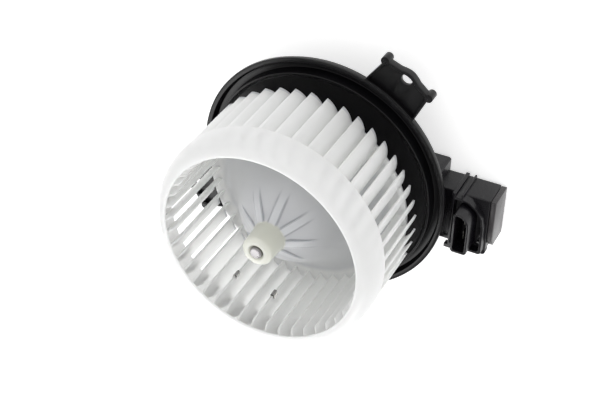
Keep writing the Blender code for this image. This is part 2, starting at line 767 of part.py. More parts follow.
# Turning parts of the motor


def motor_shaft():
    """The ground steel shaft from the lower pocket to just proud of the wheel's boss."""
    length = SHAFT_TOP - SHAFT_BASE
    waist = SHAFT_RADIUS - SHAFT_CHAMFER
    outline = [(0.0, length), (waist, length), (SHAFT_RADIUS, length - SHAFT_CHAMFER),
               (SHAFT_RADIUS, SHAFT_CHAMFER), (waist, 0.0), (0.0, 0.0)]
    return finish(turned("motor_shaft", outline, SMALL_STEPS, SHAFT_BASE, solid=True), STEEL)


def armature_core():
    """The laminated core, a disc of teeth with parallel slots for the winding."""
    outline = []
    half = SLOT_WIDTH / 2
    mouth = atan2(half, CORE_RADIUS)
    pitch = 2 * pi / SLOT_COUNT
    root = CORE_RADIUS - SLOT_DEPTH
    for index in range(SLOT_COUNT):
        middle = pitch * index
        turn = Matrix.Rotation(middle, 2)
        outline += [tuple(turn @ Vector((root, -half))), tuple(turn @ Vector((root, half)))]
        outline += arc(CORE_RADIUS, middle + mouth, middle + pitch - mouth, TOOTH_STEPS)
    bore = arc(BORE, 0.0, 2 * pi * (1 - 1 / TINY_STEPS), TINY_STEPS - 1)
    core = plate("armature_core", outline, CORE_BASE, CORE_BASE + CORE_LENGTH, holes=(bore,))
    return finish(core, DARK_STEEL)


def armature_winding():
    """The winding: a rounded head of end turns at each end and one coil side in each slot."""
    low = CORE_BASE - FIT - WINDING_OVERHANG
    high = CORE_BASE + CORE_LENGTH + FIT
    root = CORE_RADIUS - SLOT_DEPTH + FIT
    inner = root - 3 * FIT - OVERLAP
    outer = CORE_RADIUS - 2 * FIT
    ease = WINDING_OVERHANG / 4
    head = [(outer - ease, WINDING_OVERHANG), (outer, WINDING_OVERHANG - ease), (outer, ease / 2),
            (outer - ease / 2, 0.0), (inner, 0.0), (inner, WINDING_OVERHANG)]
    winding = turned("armature_winding", head, MOTOR_STEPS, high)
    lower = turned("lower_end_turns", head, MOTOR_STEPS, low, guide=True)
    half = SLOT_WIDTH / 2 - FIT
    side = box("coil_side", (root, -half, low + OVERLAP), (outer - OVERLAP, half, high + OVERLAP), True)
    places = [about_axis(2 * pi * index / SLOT_COUNT) for index in range(SLOT_COUNT)]
    join(winding, repeated("coil_sides", side, places), lower)
    return finish(winding, COPPER)


def commutator():
    """The copper commutator with its riser under the winding."""
    top = CORE_BASE - FIT - WINDING_OVERHANG - FIT
    length = top - COMMUTATOR_BASE
    outline = [(COMMUTATOR_RADIUS + RISER_PROUD, length),
               (COMMUTATOR_RADIUS + RISER_PROUD, length - RISER_LENGTH),
               (COMMUTATOR_RADIUS, length - RISER_LENGTH), (COMMUTATOR_RADIUS, 0.0),
               (BORE, 0.0), (BORE, length)]
    return finish(turned("commutator", outline, MOTOR_STEPS, COMMUTATOR_BASE), COPPER)


def thrust_washer(name, base):
    """A nylon washer on the shaft."""
    return finish(sleeve(name, BORE, BORE + WASHER_WALL, WASHER_THICKNESS, SMALL_STEPS, base), NYLON)


# Standing parts of the motor


def motor_can():
    """The drawn steel can: open below, beaded under the upper ring, with the bearing's nose."""
    bead_top = BEAD_TOP - CAN_BASE
    bead = CAN_RADIUS + BEAD_PROUD
    nose = CAN_LENGTH + NOSE_LENGTH
    ceiling = CAN_LENGTH - CAN_WALL
    nose_ceiling = nose - POCKET_WALL
    outline = [(BORE, nose), (POCKET_RADIUS, nose), (POCKET_RADIUS, CAN_LENGTH),
               (CAN_RADIUS - CAN_SHOULDER, CAN_LENGTH), (CAN_RADIUS, CAN_LENGTH - CAN_SHOULDER),
               (CAN_RADIUS, bead_top), (bead, bead_top), (bead, bead_top - BEAD_HEIGHT),
               (CAN_RADIUS, bead_top - BEAD_HEIGHT), (CAN_RADIUS, 0.0), (CAN_BORE, 0.0),
               (CAN_BORE, ceiling), (POCKET_BORE, ceiling), (POCKET_BORE, nose_ceiling),
               (BORE, nose_ceiling)]
    return finish(turned("motor_can", outline, MOTOR_STEPS, CAN_BASE), STEEL)


def end_plate():
    """The plate that closes the can, with the lower bearing's pocket and holes for the leads."""
    floor = POCKET_FLOOR - END_PLATE_BASE
    outline = [(0.0, floor), (POCKET_BORE, floor), (POCKET_BORE, END_PLATE_THICKNESS),
               (CAN_RADIUS, END_PLATE_THICKNESS), (CAN_RADIUS, 0.0), (POCKET_RADIUS, 0.0),
               (POCKET_RADIUS, floor - POCKET_WALL), (0.0, floor - POCKET_WALL)]
    closing = turned("end_plate", outline, MOTOR_STEPS, END_PLATE_BASE, solid=True)
    reach = END_PLATE_THICKNESS
    low = END_PLATE_BASE - reach
    high = END_PLATE_TOP + reach
    cut(closing, rods("lead_holes", lead_ends(), LEAD_HOLE, low, high, TINY_STEPS))
    return finish(closing, STEEL)


def magnet(number, middle):
    """One ferrite field magnet, an arc against the can's inside."""
    start = middle - MAGNET_SPAN / 2
    end = middle + MAGNET_SPAN / 2
    outline = arc(MAGNET_OUTER, start, end, MAGNET_STEPS) + arc(MAGNET_INNER, end, start, MAGNET_STEPS)
    magnet_base = MAGNET_TOP - MAGNET_LENGTH
    return finish(plate(f"magnet_{number}", outline, magnet_base, MAGNET_TOP), FERRITE)


def magnet_spring(number, middle):
    """The bent strip between two magnets that presses them apart."""
    half = (pi - MAGNET_SPAN) / 2 - FIT / MAGNET_INNER
    inner = MAGNET_OUTER - SPRING_STRIP
    strip = SPRING_STRIP / inner
    tongue = MAGNET_OUTER - SPRING_TONGUE
    outline = [at_angle(tongue, middle - half)]
    outline += arc(MAGNET_OUTER, middle - half, middle + half, ARC_STEPS)
    outline += [at_angle(tongue, middle + half), at_angle(tongue, middle + half - strip)]
    outline += arc(inner, middle + half - strip, middle - half + strip, ARC_STEPS)
    outline += [at_angle(tongue, middle - half + strip)]
    spring_base = MAGNET_TOP - MAGNET_LENGTH
    return finish(plate(f"magnet_spring_{number}", outline, spring_base, MAGNET_TOP), STEEL)


def bush(name, base):
    """A sintered bearing bush."""
    return finish(sleeve(name, BORE, BUSH_RADIUS, BUSH_LENGTH, SMALL_STEPS, base), BRONZE)


def brush_card():
    """The insulating card on the end plate that carries the brush holders."""
    outer = CAN_BORE - 2 * FIT
    card = sleeve("brush_card", CARD_BORE, outer, CARD_THICKNESS, MOTOR_STEPS, CARD_BASE)
    return finish(card, CARD_BROWN)


def brush_parts(number, turn):
    """A brush, its spring and its sheet-metal holder, pointing at the commutator."""
    back = BRUSH_TIP + BRUSH_LENGTH
    channel = BRUSH_WIDTH / 2 + FIT
    floor = HOLDER_BASE + HOLDER_WALL
    ceiling = floor + BRUSH_HEIGHT + 2 * FIT
    holder = box(f"brush_holder_{number}", (HOLDER_START, -channel - HOLDER_WALL, HOLDER_BASE),
                 (HOLDER_END, channel + HOLDER_WALL, ceiling + HOLDER_WALL))
    hollow = box(f"brush_channel_{number}", (HOLDER_START - OVERLAP, -channel, floor),
                 (HOLDER_END - HOLDER_WALL, channel, ceiling), guide=True)
    cut(holder, hollow)
    hollow.parent = holder
    carbon = box(f"brush_{number}", (BRUSH_TIP, -BRUSH_WIDTH / 2, floor + FIT),
                 (back, BRUSH_WIDTH / 2, floor + FIT + BRUSH_HEIGHT))
    coil = BRUSH_WIDTH / 2 - BRUSH_SPRING_WIRE
    middle = (floor + ceiling) / 2
    start = back + FIT + BRUSH_SPRING_WIRE / 2
    travel = BRUSH_SPRING_END - BRUSH_SPRING_WIRE / 2 - start
    count = round(TURN_STEPS * BRUSH_SPRING_TURNS)
    helix = []
    for step in range(count + 1):
        angle = 2 * pi * BRUSH_SPRING_TURNS * step / count
        helix.append((start + travel * step / count, coil * cos(angle), middle + coil * sin(angle)))
    spring = wire(f"brush_spring_{number}", helix, BRUSH_SPRING_WIRE / 2, sides=0)
    parts = [finish(holder, BRASS), finish(carbon, CARBON), finish(spring, STEEL)]
    for part in parts:
        part.rotation_euler.z = turn
    return parts


# What carries the motor


def upper_isolator():
    """The rubber ring between the can and the cup, above the can's bead."""
    ring = sleeve("upper_isolator", ISOLATOR_INNER, ISOLATOR_OUTER, ISOLATOR_HEIGHT, MOTOR_STEPS,
                  UPPER_ISOLATOR_TOP - ISOLATOR_HEIGHT)
    return finish(ring, RUBBER)


def lower_isolator():
    """The rubber ring under the can, with a lip below the end plate."""
    lip = ISOLATOR_OUTER - ISOLATOR_LIP_WIDTH
    shelf = ISOLATOR_LIP
    outline = [(ISOLATOR_OUTER, ISOLATOR_HEIGHT), (ISOLATOR_OUTER, 0.0), (lip, 0.0), (lip, shelf),
               (ISOLATOR_INNER, shelf), (ISOLATOR_INNER, ISOLATOR_HEIGHT)]
    return finish(turned("lower_isolator", outline, MOTOR_STEPS, LOWER_ISOLATOR_BASE), RUBBER)


def lug_centres():
    """Where the cover's three screws stand round the cup."""
    return [at_angle(LUG_RADIUS, angle) for angle in LUG_ANGLES]


def lead_duct(name, low, high):
    """A cutter for the leads' way through the cup's wall or the cover's spigot."""
    inner = CUP_BORE - SPIGOT_WALL - 3 * OVERLAP
    outer = CUP_RADIUS + OVERLAP
    return box(name, (inner, -DUCT_WIDTH / 2, low), (outer, DUCT_WIDTH / 2, high), guide=True)


def rear_cover():
    """The moulded cover: a vented disc with three lugs and a spigot under the lower ring."""
    spigot_outer = CUP_BORE - FIT
    spigot_inner = spigot_outer - SPIGOT_WALL
    outline = [(0.0, COVER_THICKNESS), (spigot_inner, COVER_THICKNESS), (spigot_inner, SPIGOT_TOP),
               (spigot_outer, SPIGOT_TOP), (spigot_outer, COVER_THICKNESS),
               (CUP_RADIUS, COVER_THICKNESS), (CUP_RADIUS, 0.0), (0.0, 0.0)]
    cover = turned("rear_cover", outline, FLANGE_STEPS, solid=True)
    join(cover, rods("cover_lugs", lug_centres(), LUG_DIAMETER / 2, 0.0, COVER_THICKNESS))
    seat = SCREW_RECESS + SCREW_HEAD_HEIGHT + FIT
    head = SCREW_HEAD_RADIUS + FIT
    through = COVER_THICKNESS + OVERLAP
    cut(cover, rods("cover_screw_holes", lug_centres(), SCREW_HOLE, -OVERLAP, through, TINY_STEPS),
        rods("cover_head_seats", lug_centres(), head, -OVERLAP, seat, SMALL_STEPS))
    slot = box("vent", (VENT_INNER, -VENT_WIDTH / 2, -OVERLAP), (VENT_OUTER, VENT_WIDTH / 2, through), True)
    pitch = 2 * pi / VENT_COUNT
    vents = repeated("vents", slot, [about_axis(pitch * (index + 0.5)) for index in range(VENT_COUNT)])
    notch = lead_duct("spigot_notch", COVER_THICKNESS + FIT, SPIGOT_TOP + OVERLAP)
    cut(cover, vents, notch)
    return finish(cover, BLACK_PLASTIC)


def screw_part(name, place, head_base, length):
    """A flat-headed screw that points up, its head's underside at the given height."""
    top = SCREW_HEAD_HEIGHT + length
    outline = [(0.0, top), (SCREW_RADIUS, top), (SCREW_RADIUS, SCREW_HEAD_HEIGHT),
               (SCREW_HEAD_RADIUS, SCREW_HEAD_HEIGHT), (SCREW_HEAD_RADIUS, 0.0), (0.0, 0.0)]
    fastener = turned(name, outline, TINY_STEPS, solid=True)
    fastener.location = (*place, head_base)
    return finish(fastener, DARK_STEEL)


# Flange, ears and motor cup


def dish_height(share):
    """Height of the dish above the rim at a share of the way from the ridge in to the cup."""
    return DISH_LOW + (DISH_HIGH - DISH_LOW) * share ** DISH_CURVE


def dish_points(drop, reverse=False):
    """The dish between ridge and cup as (radius, height) pairs, lowered by the given drop."""
    points = [(RIDGE_FOOT + (CUP_RADIUS - RIDGE_FOOT) * share, RIM_HEIGHT + dish_height(share) - drop)
              for share in DISH_SHARES]
    return points[::-1] if reverse else points


def flange_outline():
    """Section of the moulding: rim, groove, ridge, dish, and the cup that holds the motor."""
    top = RIM_HEIGHT
    floor = top - GROOVE_DEPTH
    wall_foot = GROOVE_OUTER - GROOVE_DRAFT
    under = floor - FLANGE_WALL
    outer_wall = wall_foot + GROOVE_WALL
    outside = [(RIM_RADIUS, top), (RIM_RADIUS, top - RIM_THICKNESS),
               (outer_wall, top - RIM_THICKNESS - RIM_EASE), (outer_wall, under),
               (RIDGE_FOOT - RIDGE_BACKING, under)]
    corner = (RIDGE_FOOT - RIDGE_BACKING, top + DISH_LOW - FLANGE_WALL)
    below = dish_points(FLANGE_WALL) + [(CUP_RADIUS, top + DISH_HIGH - FLANGE_WALL)]
    cup = [(CUP_RADIUS, CUP_BASE), (CUP_BORE, CUP_BASE), (CUP_BORE, LIP_UNDERSIDE),
           (CUP_BORE - CUP_LIP, LIP_UNDERSIDE), (CUP_BORE - CUP_LIP, CUP_TOP),
           (CUP_RADIUS - CUP_WALL / 3, CUP_TOP), (CUP_RADIUS, CUP_TOP - CUP_WALL / 3),
           (CUP_RADIUS, top + DISH_HIGH)]
    above = dish_points(0.0, reverse=True)
    ridge = [(RIDGE_INNER, top + RIDGE_HEIGHT), (GROOVE_INNER, top + RIDGE_HEIGHT)]
    groove = [(GROOVE_INNER, floor), (wall_foot, floor), (GROOVE_OUTER, top)]
    foot = [(RIDGE_FOOT, top + RIDGE_HEIGHT * RIDGE_FOOT_SHARE)]
    return outside + [corner] + below + cup + above + foot + ridge + groove


def ear_outline(inset=0.0):
    """Half of an ear's outline as (outward, sideways) pairs, from the rim to the tip."""
    shoulder = EAR_HALF_WIDTH - EAR_TAPER - inset
    corner = EAR_HALF_WIDTH * EAR_CORNER_SHARE - inset
    tip = EAR_REACH - inset * EAR_TIP_WALL / EAR_WALL
    rounding = [(tip - back, EAR_HALF_WIDTH * share) for back, share in EAR_TIP_ROUNDING]
    return [(EAR_SHOULDER - inset / 2, shoulder), (EAR_SHOULDER + EAR_CORNER - inset, corner), *rounding]


def ear_shape(name, low, high, root, inset):
    """A prism of the ear's outline that starts on an arc round the axis."""
    half = EAR_HALF_WIDTH - inset
    side = atan2(half, root)
    near = arc(root, -side, side, ARC_STEPS)
    edge = ear_outline(inset)
    outline = near + edge + [(outward, -across) for outward, across in reversed(edge)]
    return plate(name, outline, low, high, guide=True)


def ears():
    """Guides for the three ears, for the pockets in them, and for the bolt holes."""
    top = RIM_HEIGHT - EAR_STEP
    low = top - EAR_THICKNESS
    inside_wall = GROOVE_OUTER + EAR_STEP
    turns = [about_axis(angle) for angle in EAR_ANGLES]
    solid = repeated("ear_plates", ear_shape("ear", low, top, inside_wall, 0.0), turns)
    pocket_root = RIM_RADIUS + EAR_STEP * 2
    pocket = ear_shape("ear_pocket", top - EAR_POCKET_DEPTH, top + OVERLAP, pocket_root, EAR_WALL)
    pockets = repeated("ear_pockets", pocket, turns)
    post_radius = EAR_POST_DIAMETER / 2
    place = (EAR_SHOULDER + EAR_POST_SET_OUT, EAR_HALF_WIDTH - EAR_POST_INSET)
    pair = [place, (place[0], -place[1])]
    post = rods("ear_post", pair, post_radius, low - EAR_POST_LENGTH, top - EAR_STEP, TINY_STEPS)
    posts = repeated("ear_posts", post, turns)
    hole = rods("ear_hole", [(EAR_BOLT_RADIUS, 0.0)], EAR_BOLT_HOLE / 2, low - OVERLAP, top + OVERLAP)
    holes = repeated("ear_holes", hole, turns)
    return solid, posts, pockets, holes


def flange_ribs():
    """Radial ribs under the dish, none where the connector box's neck passes."""
    start = CUP_RADIUS - CUP_WALL / 2
    end = RIDGE_FOOT + FLANGE_WALL / 4
    above = [(radius, height - FLANGE_WALL / 2) for radius, height in dish_points(0.0)]
    top = RIM_HEIGHT + DISH_HIGH - FLANGE_WALL / 2
    outer_base = RIM_HEIGHT - GROOVE_DEPTH - FLANGE_WALL / 2
    outline = [(start, top), (start, RIB_BASE), (end, outer_base), (end, above[0][1])] + above
    stand = Matrix.Rotation(pi / 2, 4, "X")
    half = FLANGE_RIB_THICKNESS / 2
    rib = plate("flange_rib", outline, -half, half, guide=True, turn=stand)
    turns = [about_axis(radians(degrees)) for degrees in range(FLANGE_RIB_PITCH, 360, FLANGE_RIB_PITCH)]
    return repeated("flange_ribs", rib, turns)


def tab_centres():
    """Where the box's two fixing screws stand, one each side of its neck."""
    return [(TAB_X, NECK_LOWER_Y - TAB_REACH / 2), (TAB_X, NECK_UPPER_Y + TAB_REACH / 2)]


def flange_housing():
    """The flange, its ears and the motor's cup, one moulding."""
    housing = turned("flange_housing", flange_outline(), FLANGE_STEPS)
    solid, posts, pockets, holes = ears()
    lug_base = COVER_THICKNESS + FIT
    lugs = rods("cup_lugs", lug_centres(), LUG_DIAMETER / 2, lug_base, lug_base + LUG_HEIGHT)
    boss_top = RIM_HEIGHT + DISH_LOW - FLANGE_WALL / 2
    bosses = rods("box_bosses", tab_centres(), TAB_BOSS_DIAMETER / 2, NECK_TOP + FIT, boss_top)
    join(housing, solid, posts, flange_ribs(), lugs, bosses)
    pilot_top = lug_base + SCREW_LENGTH
    pilots = rods("lug_pilots", lug_centres(), SCREW_HOLE, lug_base - OVERLAP, pilot_top, TINY_STEPS)
    tab_pilot_top = NECK_TOP + SCREW_LENGTH - TAB_THICKNESS + FIT
    tab_pilots = rods("boss_pilots", tab_centres(), SCREW_HOLE, NECK_TOP - OVERLAP, tab_pilot_top,
                      TINY_STEPS)
    window = lead_duct("cup_window", DUCT_BASE, SPIGOT_TOP)
    cut(housing, pockets, holes, pilots, tab_pilots, window)
    return finish(housing, BLACK_PLASTIC)


# Connector box


def d_outline(left, right, lower, upper, bend, inset=0.0):
    """A plug's D shape: a flat left side and one large bend at the upper right."""
    left += inset
    right -= inset
    lower += inset
    upper -= inset
    reach = (bend[0] - inset, bend[1] - inset)
    turn = quarter((right - reach[0], upper - reach[1]), reach, BEND_STEPS, falling=False)
    return [(left + D_CORNER, lower), (right - D_CORNER, lower), (right, lower + D_CORNER), *turn,
            (left + D_CORNER, upper), (left, upper - D_CORNER), (left, lower + D_CORNER)]


def skirt():
    """The low D-shaped wall round the plug's tube."""
    sides = (SKIRT_LEFT, SKIRT_RIGHT, SKIRT_LOWER_Y, SKIRT_UPPER_Y, SKIRT_BEND)
    inner = d_outline(*sides, inset=SKIRT_WALL)
    return plate("skirt", d_outline(*sides), BOX_TOP - OVERLAP, BOX_TOP + SKIRT_HEIGHT, True, (inner,))


def tube():
    """The tall D-shaped tube round the terminals."""
    sides = (TUBE_LEFT, TUBE_RIGHT, TUBE_LOWER_Y, TUBE_UPPER_Y, TUBE_BEND)
    inner = d_outline(*sides, inset=TUBE_WALL)
    return plate("tube", d_outline(*sides), BOX_TOP - OVERLAP, BOX_TOP + TUBE_HEIGHT, True, (inner,))


def terminal_places():
    """The two terminals' middles, side by side along the socket."""
    half = TERMINAL_PITCH / 2
    return [(TERMINAL_X, TERMINAL_Y - half), (TERMINAL_X, TERMINAL_Y + half)]


def box_joiners():
    """What the box's moulding has besides its main block."""
    neck_start = CUP_RADIUS + FIT
    neck = box("neck", (neck_start, NECK_LOWER_Y, BOX_BASE),
               (BOX_START + NECK_CORNER + FIT, NECK_UPPER_Y, NECK_TOP), guide=True)
    soften(neck, NECK_CORNER)
    low_tab = NECK_TOP - TAB_THICKNESS
    half = TAB_LENGTH / 2
    tabs = box("tabs", (TAB_X - half, NECK_LOWER_Y - TAB_REACH, low_tab),
               (TAB_X + half, NECK_UPPER_Y + TAB_REACH, NECK_TOP - FIT), guide=True)
    ridges = []
    for number, (left, width) in enumerate(FACE_RIDGES, start=1):
        low = (left, BOX_UPPER_Y - OVERLAP, BOX_BASE + 2 * BOX_EDGE)
        high = (left + width, BOX_UPPER_Y + FACE_RIDGE_PROUD, BOX_TOP + SKIRT_HEIGHT - FIT)
        ridges.append(soften(box(f"face_ridge_{number}", low, high, guide=True), BOX_EDGE / 2))
    foot = rods("foot", [FOOT_PLACE], FOOT_DIAMETER / 2, BOX_TOP - FOOT_LENGTH, BOX_TOP - FIT)
    hook_low = BOX_TOP - FOOT_LENGTH
    hook = box("hook_arm", (HOOK_RIGHT - HOOK_THICKNESS, BOX_LOWER_Y - HOOK_REACH, hook_low),
               (HOOK_RIGHT, BOX_LOWER_Y + OVERLAP, BOX_TOP - FIT), guide=True)
    toe = box("hook_toe", (HOOK_LEFT, BOX_LOWER_Y - HOOK_REACH - FIT, hook_low + FIT),
              (HOOK_RIGHT - HOOK_THICKNESS / 2, BOX_LOWER_Y - HOOK_REACH + HOOK_THICKNESS,
               BOX_TOP - 2 * FIT), guide=True)
    return [neck, tabs, skirt(), tube(), *ridges, foot, hook, toe]


def box_hollows():
    """The room for the board, the way for the leads, and the terminals' slots."""
    room = box("room", (BOX_START + BOX_WALL, BOX_CAVITY_LOWER, BOX_FLOOR),
               (BOX_END + OVERLAP, BOX_CAVITY_UPPER, BOX_CEILING), guide=True)
    neck_end = BOX_START - BOX_WALL
    passage = box("passage", (CUP_RADIUS - OVERLAP, NECK_LOWER_Y + BOX_WALL, BOX_FLOOR),
                  (neck_end, NECK_UPPER_Y - BOX_WALL, NECK_TOP - BOX_WALL - FIT), guide=True)
    lower = max(BOX_CAVITY_LOWER, NECK_LOWER_Y + BOX_WALL) + FIT
    doorway = box("doorway", (neck_end - OVERLAP, lower, BOX_FLOOR + FIT),
                  (BOX_START + BOX_WALL + OVERLAP, BOX_CAVITY_UPPER - FIT, BOX_CEILING - FIT), guide=True)
    slots = []
    for number, (x, y) in enumerate(terminal_places(), start=1):
        half = (TERMINAL_THICKNESS / 2 + FIT, TERMINAL_WIDTH / 2 + FIT)
        slots.append(box(f"terminal_slot_{number}", (x - half[0], y - half[1], BOX_CEILING - OVERLAP),
                         (x + half[0], y + half[1], BOX_TOP + OVERLAP), guide=True))
    dimple = rods("dimple", [DIMPLE_PLACE], DIMPLE_DIAMETER / 2, BOX_TOP - DIMPLE_DEPTH,
                  BOX_TOP + OVERLAP, TINY_STEPS)
    tab_holes = rods("tab_holes", tab_centres(), SCREW_HOLE, NECK_TOP - TAB_THICKNESS - OVERLAP,
                     NECK_TOP + OVERLAP, TINY_STEPS)
    return [room, passage, doorway, *slots, dimple, tab_holes]


def board_corners():
    """Middles of the four pillars under the circuit board."""
    inset = BOARD_MARGIN + PILLAR_DIAMETER / 2
    left = BOX_START + BOX_WALL + inset
    right = BOX_END - COVER_FRAME_DEPTH - inset
    lower = BOX_CAVITY_LOWER + inset
    upper = BOX_CAVITY_UPPER - inset
    return [(x, y) for x in (left, right) for y in (lower, upper)]


def connector_box():
    """The box, its neck, fixing tabs and plug socket, one moulding."""
    body = box("connector_box", (BOX_START, BOX_LOWER_Y, BOX_BASE), (BOX_END, BOX_UPPER_Y, BOX_TOP))
    soften(body, BOX_EDGE)
    join(body, *box_joiners())
    cut(body, *box_hollows())
    pillar = PILLAR_DIAMETER / 2
    join(body, rods("pillars", board_corners(), pillar, BOX_FLOOR - OVERLAP, BOARD_BASE - FIT, TINY_STEPS))
    key_low = BOX_TOP - OVERLAP / 2
    key_high = BOX_TOP + SKIRT_HEIGHT - OVERLAP
    key_x = TUBE_LEFT + KEY_THICKNESS
    upper_key = box("upper_key", (key_x, SKIRT_UPPER_Y - SKIRT_WALL - KEY_REACH, key_low),
                    (key_x + KEY_THICKNESS, SKIRT_UPPER_Y - SKIRT_WALL / 2, key_high), guide=True)
    side_y = TERMINAL_Y - TERMINAL_PITCH
    side_key = box("side_key", (SKIRT_RIGHT - SKIRT_WALL - KEY_REACH, side_y, key_low),
                   (SKIRT_RIGHT - SKIRT_WALL / 2, side_y + KEY_THICKNESS, key_high), guide=True)
    join(body, upper_key, side_key)
    return finish(body, BOX_PLASTIC)


def box_cover():
    """The side cover of the box, with a frame that plugs into the room behind it."""
    start = BOX_END + FIT
    lower = BOX_CAVITY_LOWER - COVER_PLATE_LAP
    upper = BOX_UPPER_Y - FIT
    low = BOX_BASE + 2 * FIT
    high = BOX_TOP
    along, down = COVER_PLATE_CHAMFER
    outline = [(low, lower), (low, upper), (high, upper), (high, lower + along), (high - down, lower)]
    lay = Matrix(((0, 0, 1, 0), (0, 1, 0, 0), (-1, 0, 0, 0), (0, 0, 0, 1)))
    flipped = [(-height, y) for height, y in outline]
    cover = plate("box_cover", flipped, start, start + COVER_PLATE, turn=lay)
    clear = 2 * FIT
    frame = box("cover_frame", (BOX_END - COVER_FRAME_DEPTH + FIT, BOX_CAVITY_LOWER + clear, BOX_FLOOR + clear),
                (start + OVERLAP, BOX_CAVITY_UPPER - clear, BOX_CEILING - clear), guide=True)
    inner = clear + COVER_FRAME_WALL
    hollow = box("cover_frame_hollow",
                 (BOX_END - COVER_FRAME_DEPTH - OVERLAP, BOX_CAVITY_LOWER + inner, BOX_FLOOR + inner),
                 (start, BOX_CAVITY_UPPER - inner, BOX_CEILING - inner), guide=True)
    join(cover, frame)
    cut(cover, hollow)
    return finish(cover, COVER_PLASTIC)


def circuit_board():
    """The filter's board on its four pillars."""
    inset = BOARD_MARGIN / 2
    low = (BOX_START + BOX_WALL + inset, BOX_CAVITY_LOWER + inset, BOARD_BASE)
    high = (BOX_END - COVER_FRAME_DEPTH - inset, BOX_CAVITY_UPPER - inset, BOARD_TOP)
    return finish(box("circuit_board", low, high), BOARD_GREEN)


def terminal(number, place):
    """A flat blade from the board up into the plug's tube."""
    half = (TERMINAL_THICKNESS / 2, TERMINAL_WIDTH / 2)
    high = BOX_TOP + TUBE_HEIGHT - TERMINAL_SET_BACK
    low = (place[0] - half[0], place[1] - half[1], BOARD_TOP + FIT)
    blade = box(f"terminal_{number}", low, (place[0] + half[0], place[1] + half[1], high))
    return finish(blade, BRASS)


def noise_choke():
    """The wound ferrite rod that lies on the board."""
    radius = CHOKE_DIAMETER / 2
    ease = radius / 4
    half = CHOKE_LENGTH / 2
    core = radius * CHOKE_CORE_SHARE
    outline = [(0.0, half), (core, half), (core, half - ease), (radius, half - ease),
               (radius, ease - half), (core, ease - half), (core, -half), (0.0, -half)]
    choke = turned("noise_choke", outline, SMALL_STEPS, solid=True)
    choke.location = (CHOKE_X, TERMINAL_Y, BOARD_TOP + FIT + radius)
    choke.rotation_euler.x = pi / 2
    return finish(choke, COPPER)


def capacitor():
    """The film capacitor beside the choke."""
    length, width, height = CAPACITOR_SIZE
    low = (CAPACITOR_X - length / 2, TERMINAL_Y - width / 2, BOARD_TOP + FIT)
    high = (CAPACITOR_X + length / 2, TERMINAL_Y + width / 2, BOARD_TOP + FIT + height)
    return finish(soften(box("capacitor", low, high), BOX_EDGE), CARD_BROWN)


def lead_ends():
    """Where the two leads go up through the end plate."""
    return [(LEAD_END_RADIUS, -LEAD_SPACING / 2), (LEAD_END_RADIUS, LEAD_SPACING / 2)]


def lead(number, place):
    """An insulated lead from the board through the neck and the duct to the brush card."""
    x, y = place
    on_board = BOARD_TOP + FIT + LEAD_RADIUS
    in_duct = DUCT_BASE + DUCT_HEIGHT / 2
    start = BOX_START + BOX_WALL + BOARD_MARGIN / 2 + OVERLAP
    stops = [(start, y, on_board), (BOX_START - BOX_WALL, y, on_board),
             ((BOX_START + CUP_RADIUS) / 2, y, (on_board + in_duct) / 2),
             (CUP_RADIUS + 4 * LEAD_RADIUS, y, in_duct), (CUP_BORE - SPIGOT_WALL, y, in_duct),
             (x + LEAD_BEND, y, in_duct + LEAD_RADIUS / 2), (x, y, END_PLATE_BASE - FIT),
             (x, y, END_PLATE_TOP)]
    return finish(wire(f"lead_{number}", smooth_route(stops, LEAD_STEP_RATIO * LEAD_DIAMETER), LEAD_RADIUS), RUBBER)


def build_rotor():
    """Everything that turns with the fan."""
    parts = [fan_wheel(), motor_shaft(), armature_core(), armature_winding(), commutator(),
             thrust_washer("upper_thrust_washer", UPPER_WASHER_BASE),
             thrust_washer("lower_thrust_washer", LOWER_WASHER_BASE)]
    for number, (blade, height) in enumerate(CLIP_SEATS, start=1):
        parts.append(balance_clip(number, blade, height))
    return parts


def build_motor():
    """The standing parts inside and round the motor's can."""
    parts = [motor_can(), end_plate(), magnet(1, 0.0), magnet(2, pi), magnet_spring(1, pi / 2),
             magnet_spring(2, -pi / 2), bush("upper_bearing", CAN_CEILING + FIT),
             bush("lower_bearing", LOWER_BUSH_BASE), brush_card()]
    inner = BORE + RETAINER_CLEARANCE
    outer = POCKET_BORE + RETAINER_RIM
    steps = SMALL_STEPS
    parts.append(finish(sleeve("upper_bearing_retainer", inner, outer, RETAINER_THICKNESS, steps,
                               UPPER_RETAINER_BASE), STEEL))
    parts.append(finish(sleeve("lower_bearing_retainer", inner, BUSH_RADIUS, RETAINER_THICKNESS, steps,
                               LOWER_RETAINER_BASE), STEEL))
    parts += brush_parts(1, pi / 2) + brush_parts(2, -pi / 2)
    return parts


def build_housing():
    """The flange, what holds the motor in it, and the screws."""
    parts = [flange_housing(), rear_cover(), upper_isolator(), lower_isolator()]
    for number, place in enumerate(lug_centres(), start=1):
        length = CUP_BASE + SCREW_LENGTH - FIT - SCREW_RECESS - SCREW_HEAD_HEIGHT
        parts.append(screw_part(f"cover_screw_{number}", place, SCREW_RECESS, length))
    for number, place in enumerate(tab_centres(), start=1):
        head_base = NECK_TOP - TAB_THICKNESS - FIT - SCREW_HEAD_HEIGHT
        parts.append(screw_part(f"box_screw_{number}", place, head_base, SCREW_LENGTH))
    return parts


def build_connector():
    """The connector box and what it holds."""
    parts = [connector_box(), box_cover(), circuit_board(), noise_choke(), capacitor()]
    for number, place in enumerate(terminal_places(), start=1):
        parts.append(terminal(number, place))
    for number, place in enumerate(lead_ends(), start=1):
        parts.append(lead(number, place))
    return parts


def main():
    """Builds the blower: the rotor rides on its own empty, the rest on the stator's."""
    rotor = add("rotor", None)
    stator = add("stator", None)
    ride(build_rotor(), rotor)
    ride(build_motor() + build_housing() + build_connector(), stator)


main()
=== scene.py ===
"""Looks of a car cabin blower motor: a white squirrel-cage wheel on a black moulded flange.

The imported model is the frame. The wheel and the flange are modelled again here with finer curves and
rounded edges. The other nodes that show get rounded edges, and each node gets a finish.
"""

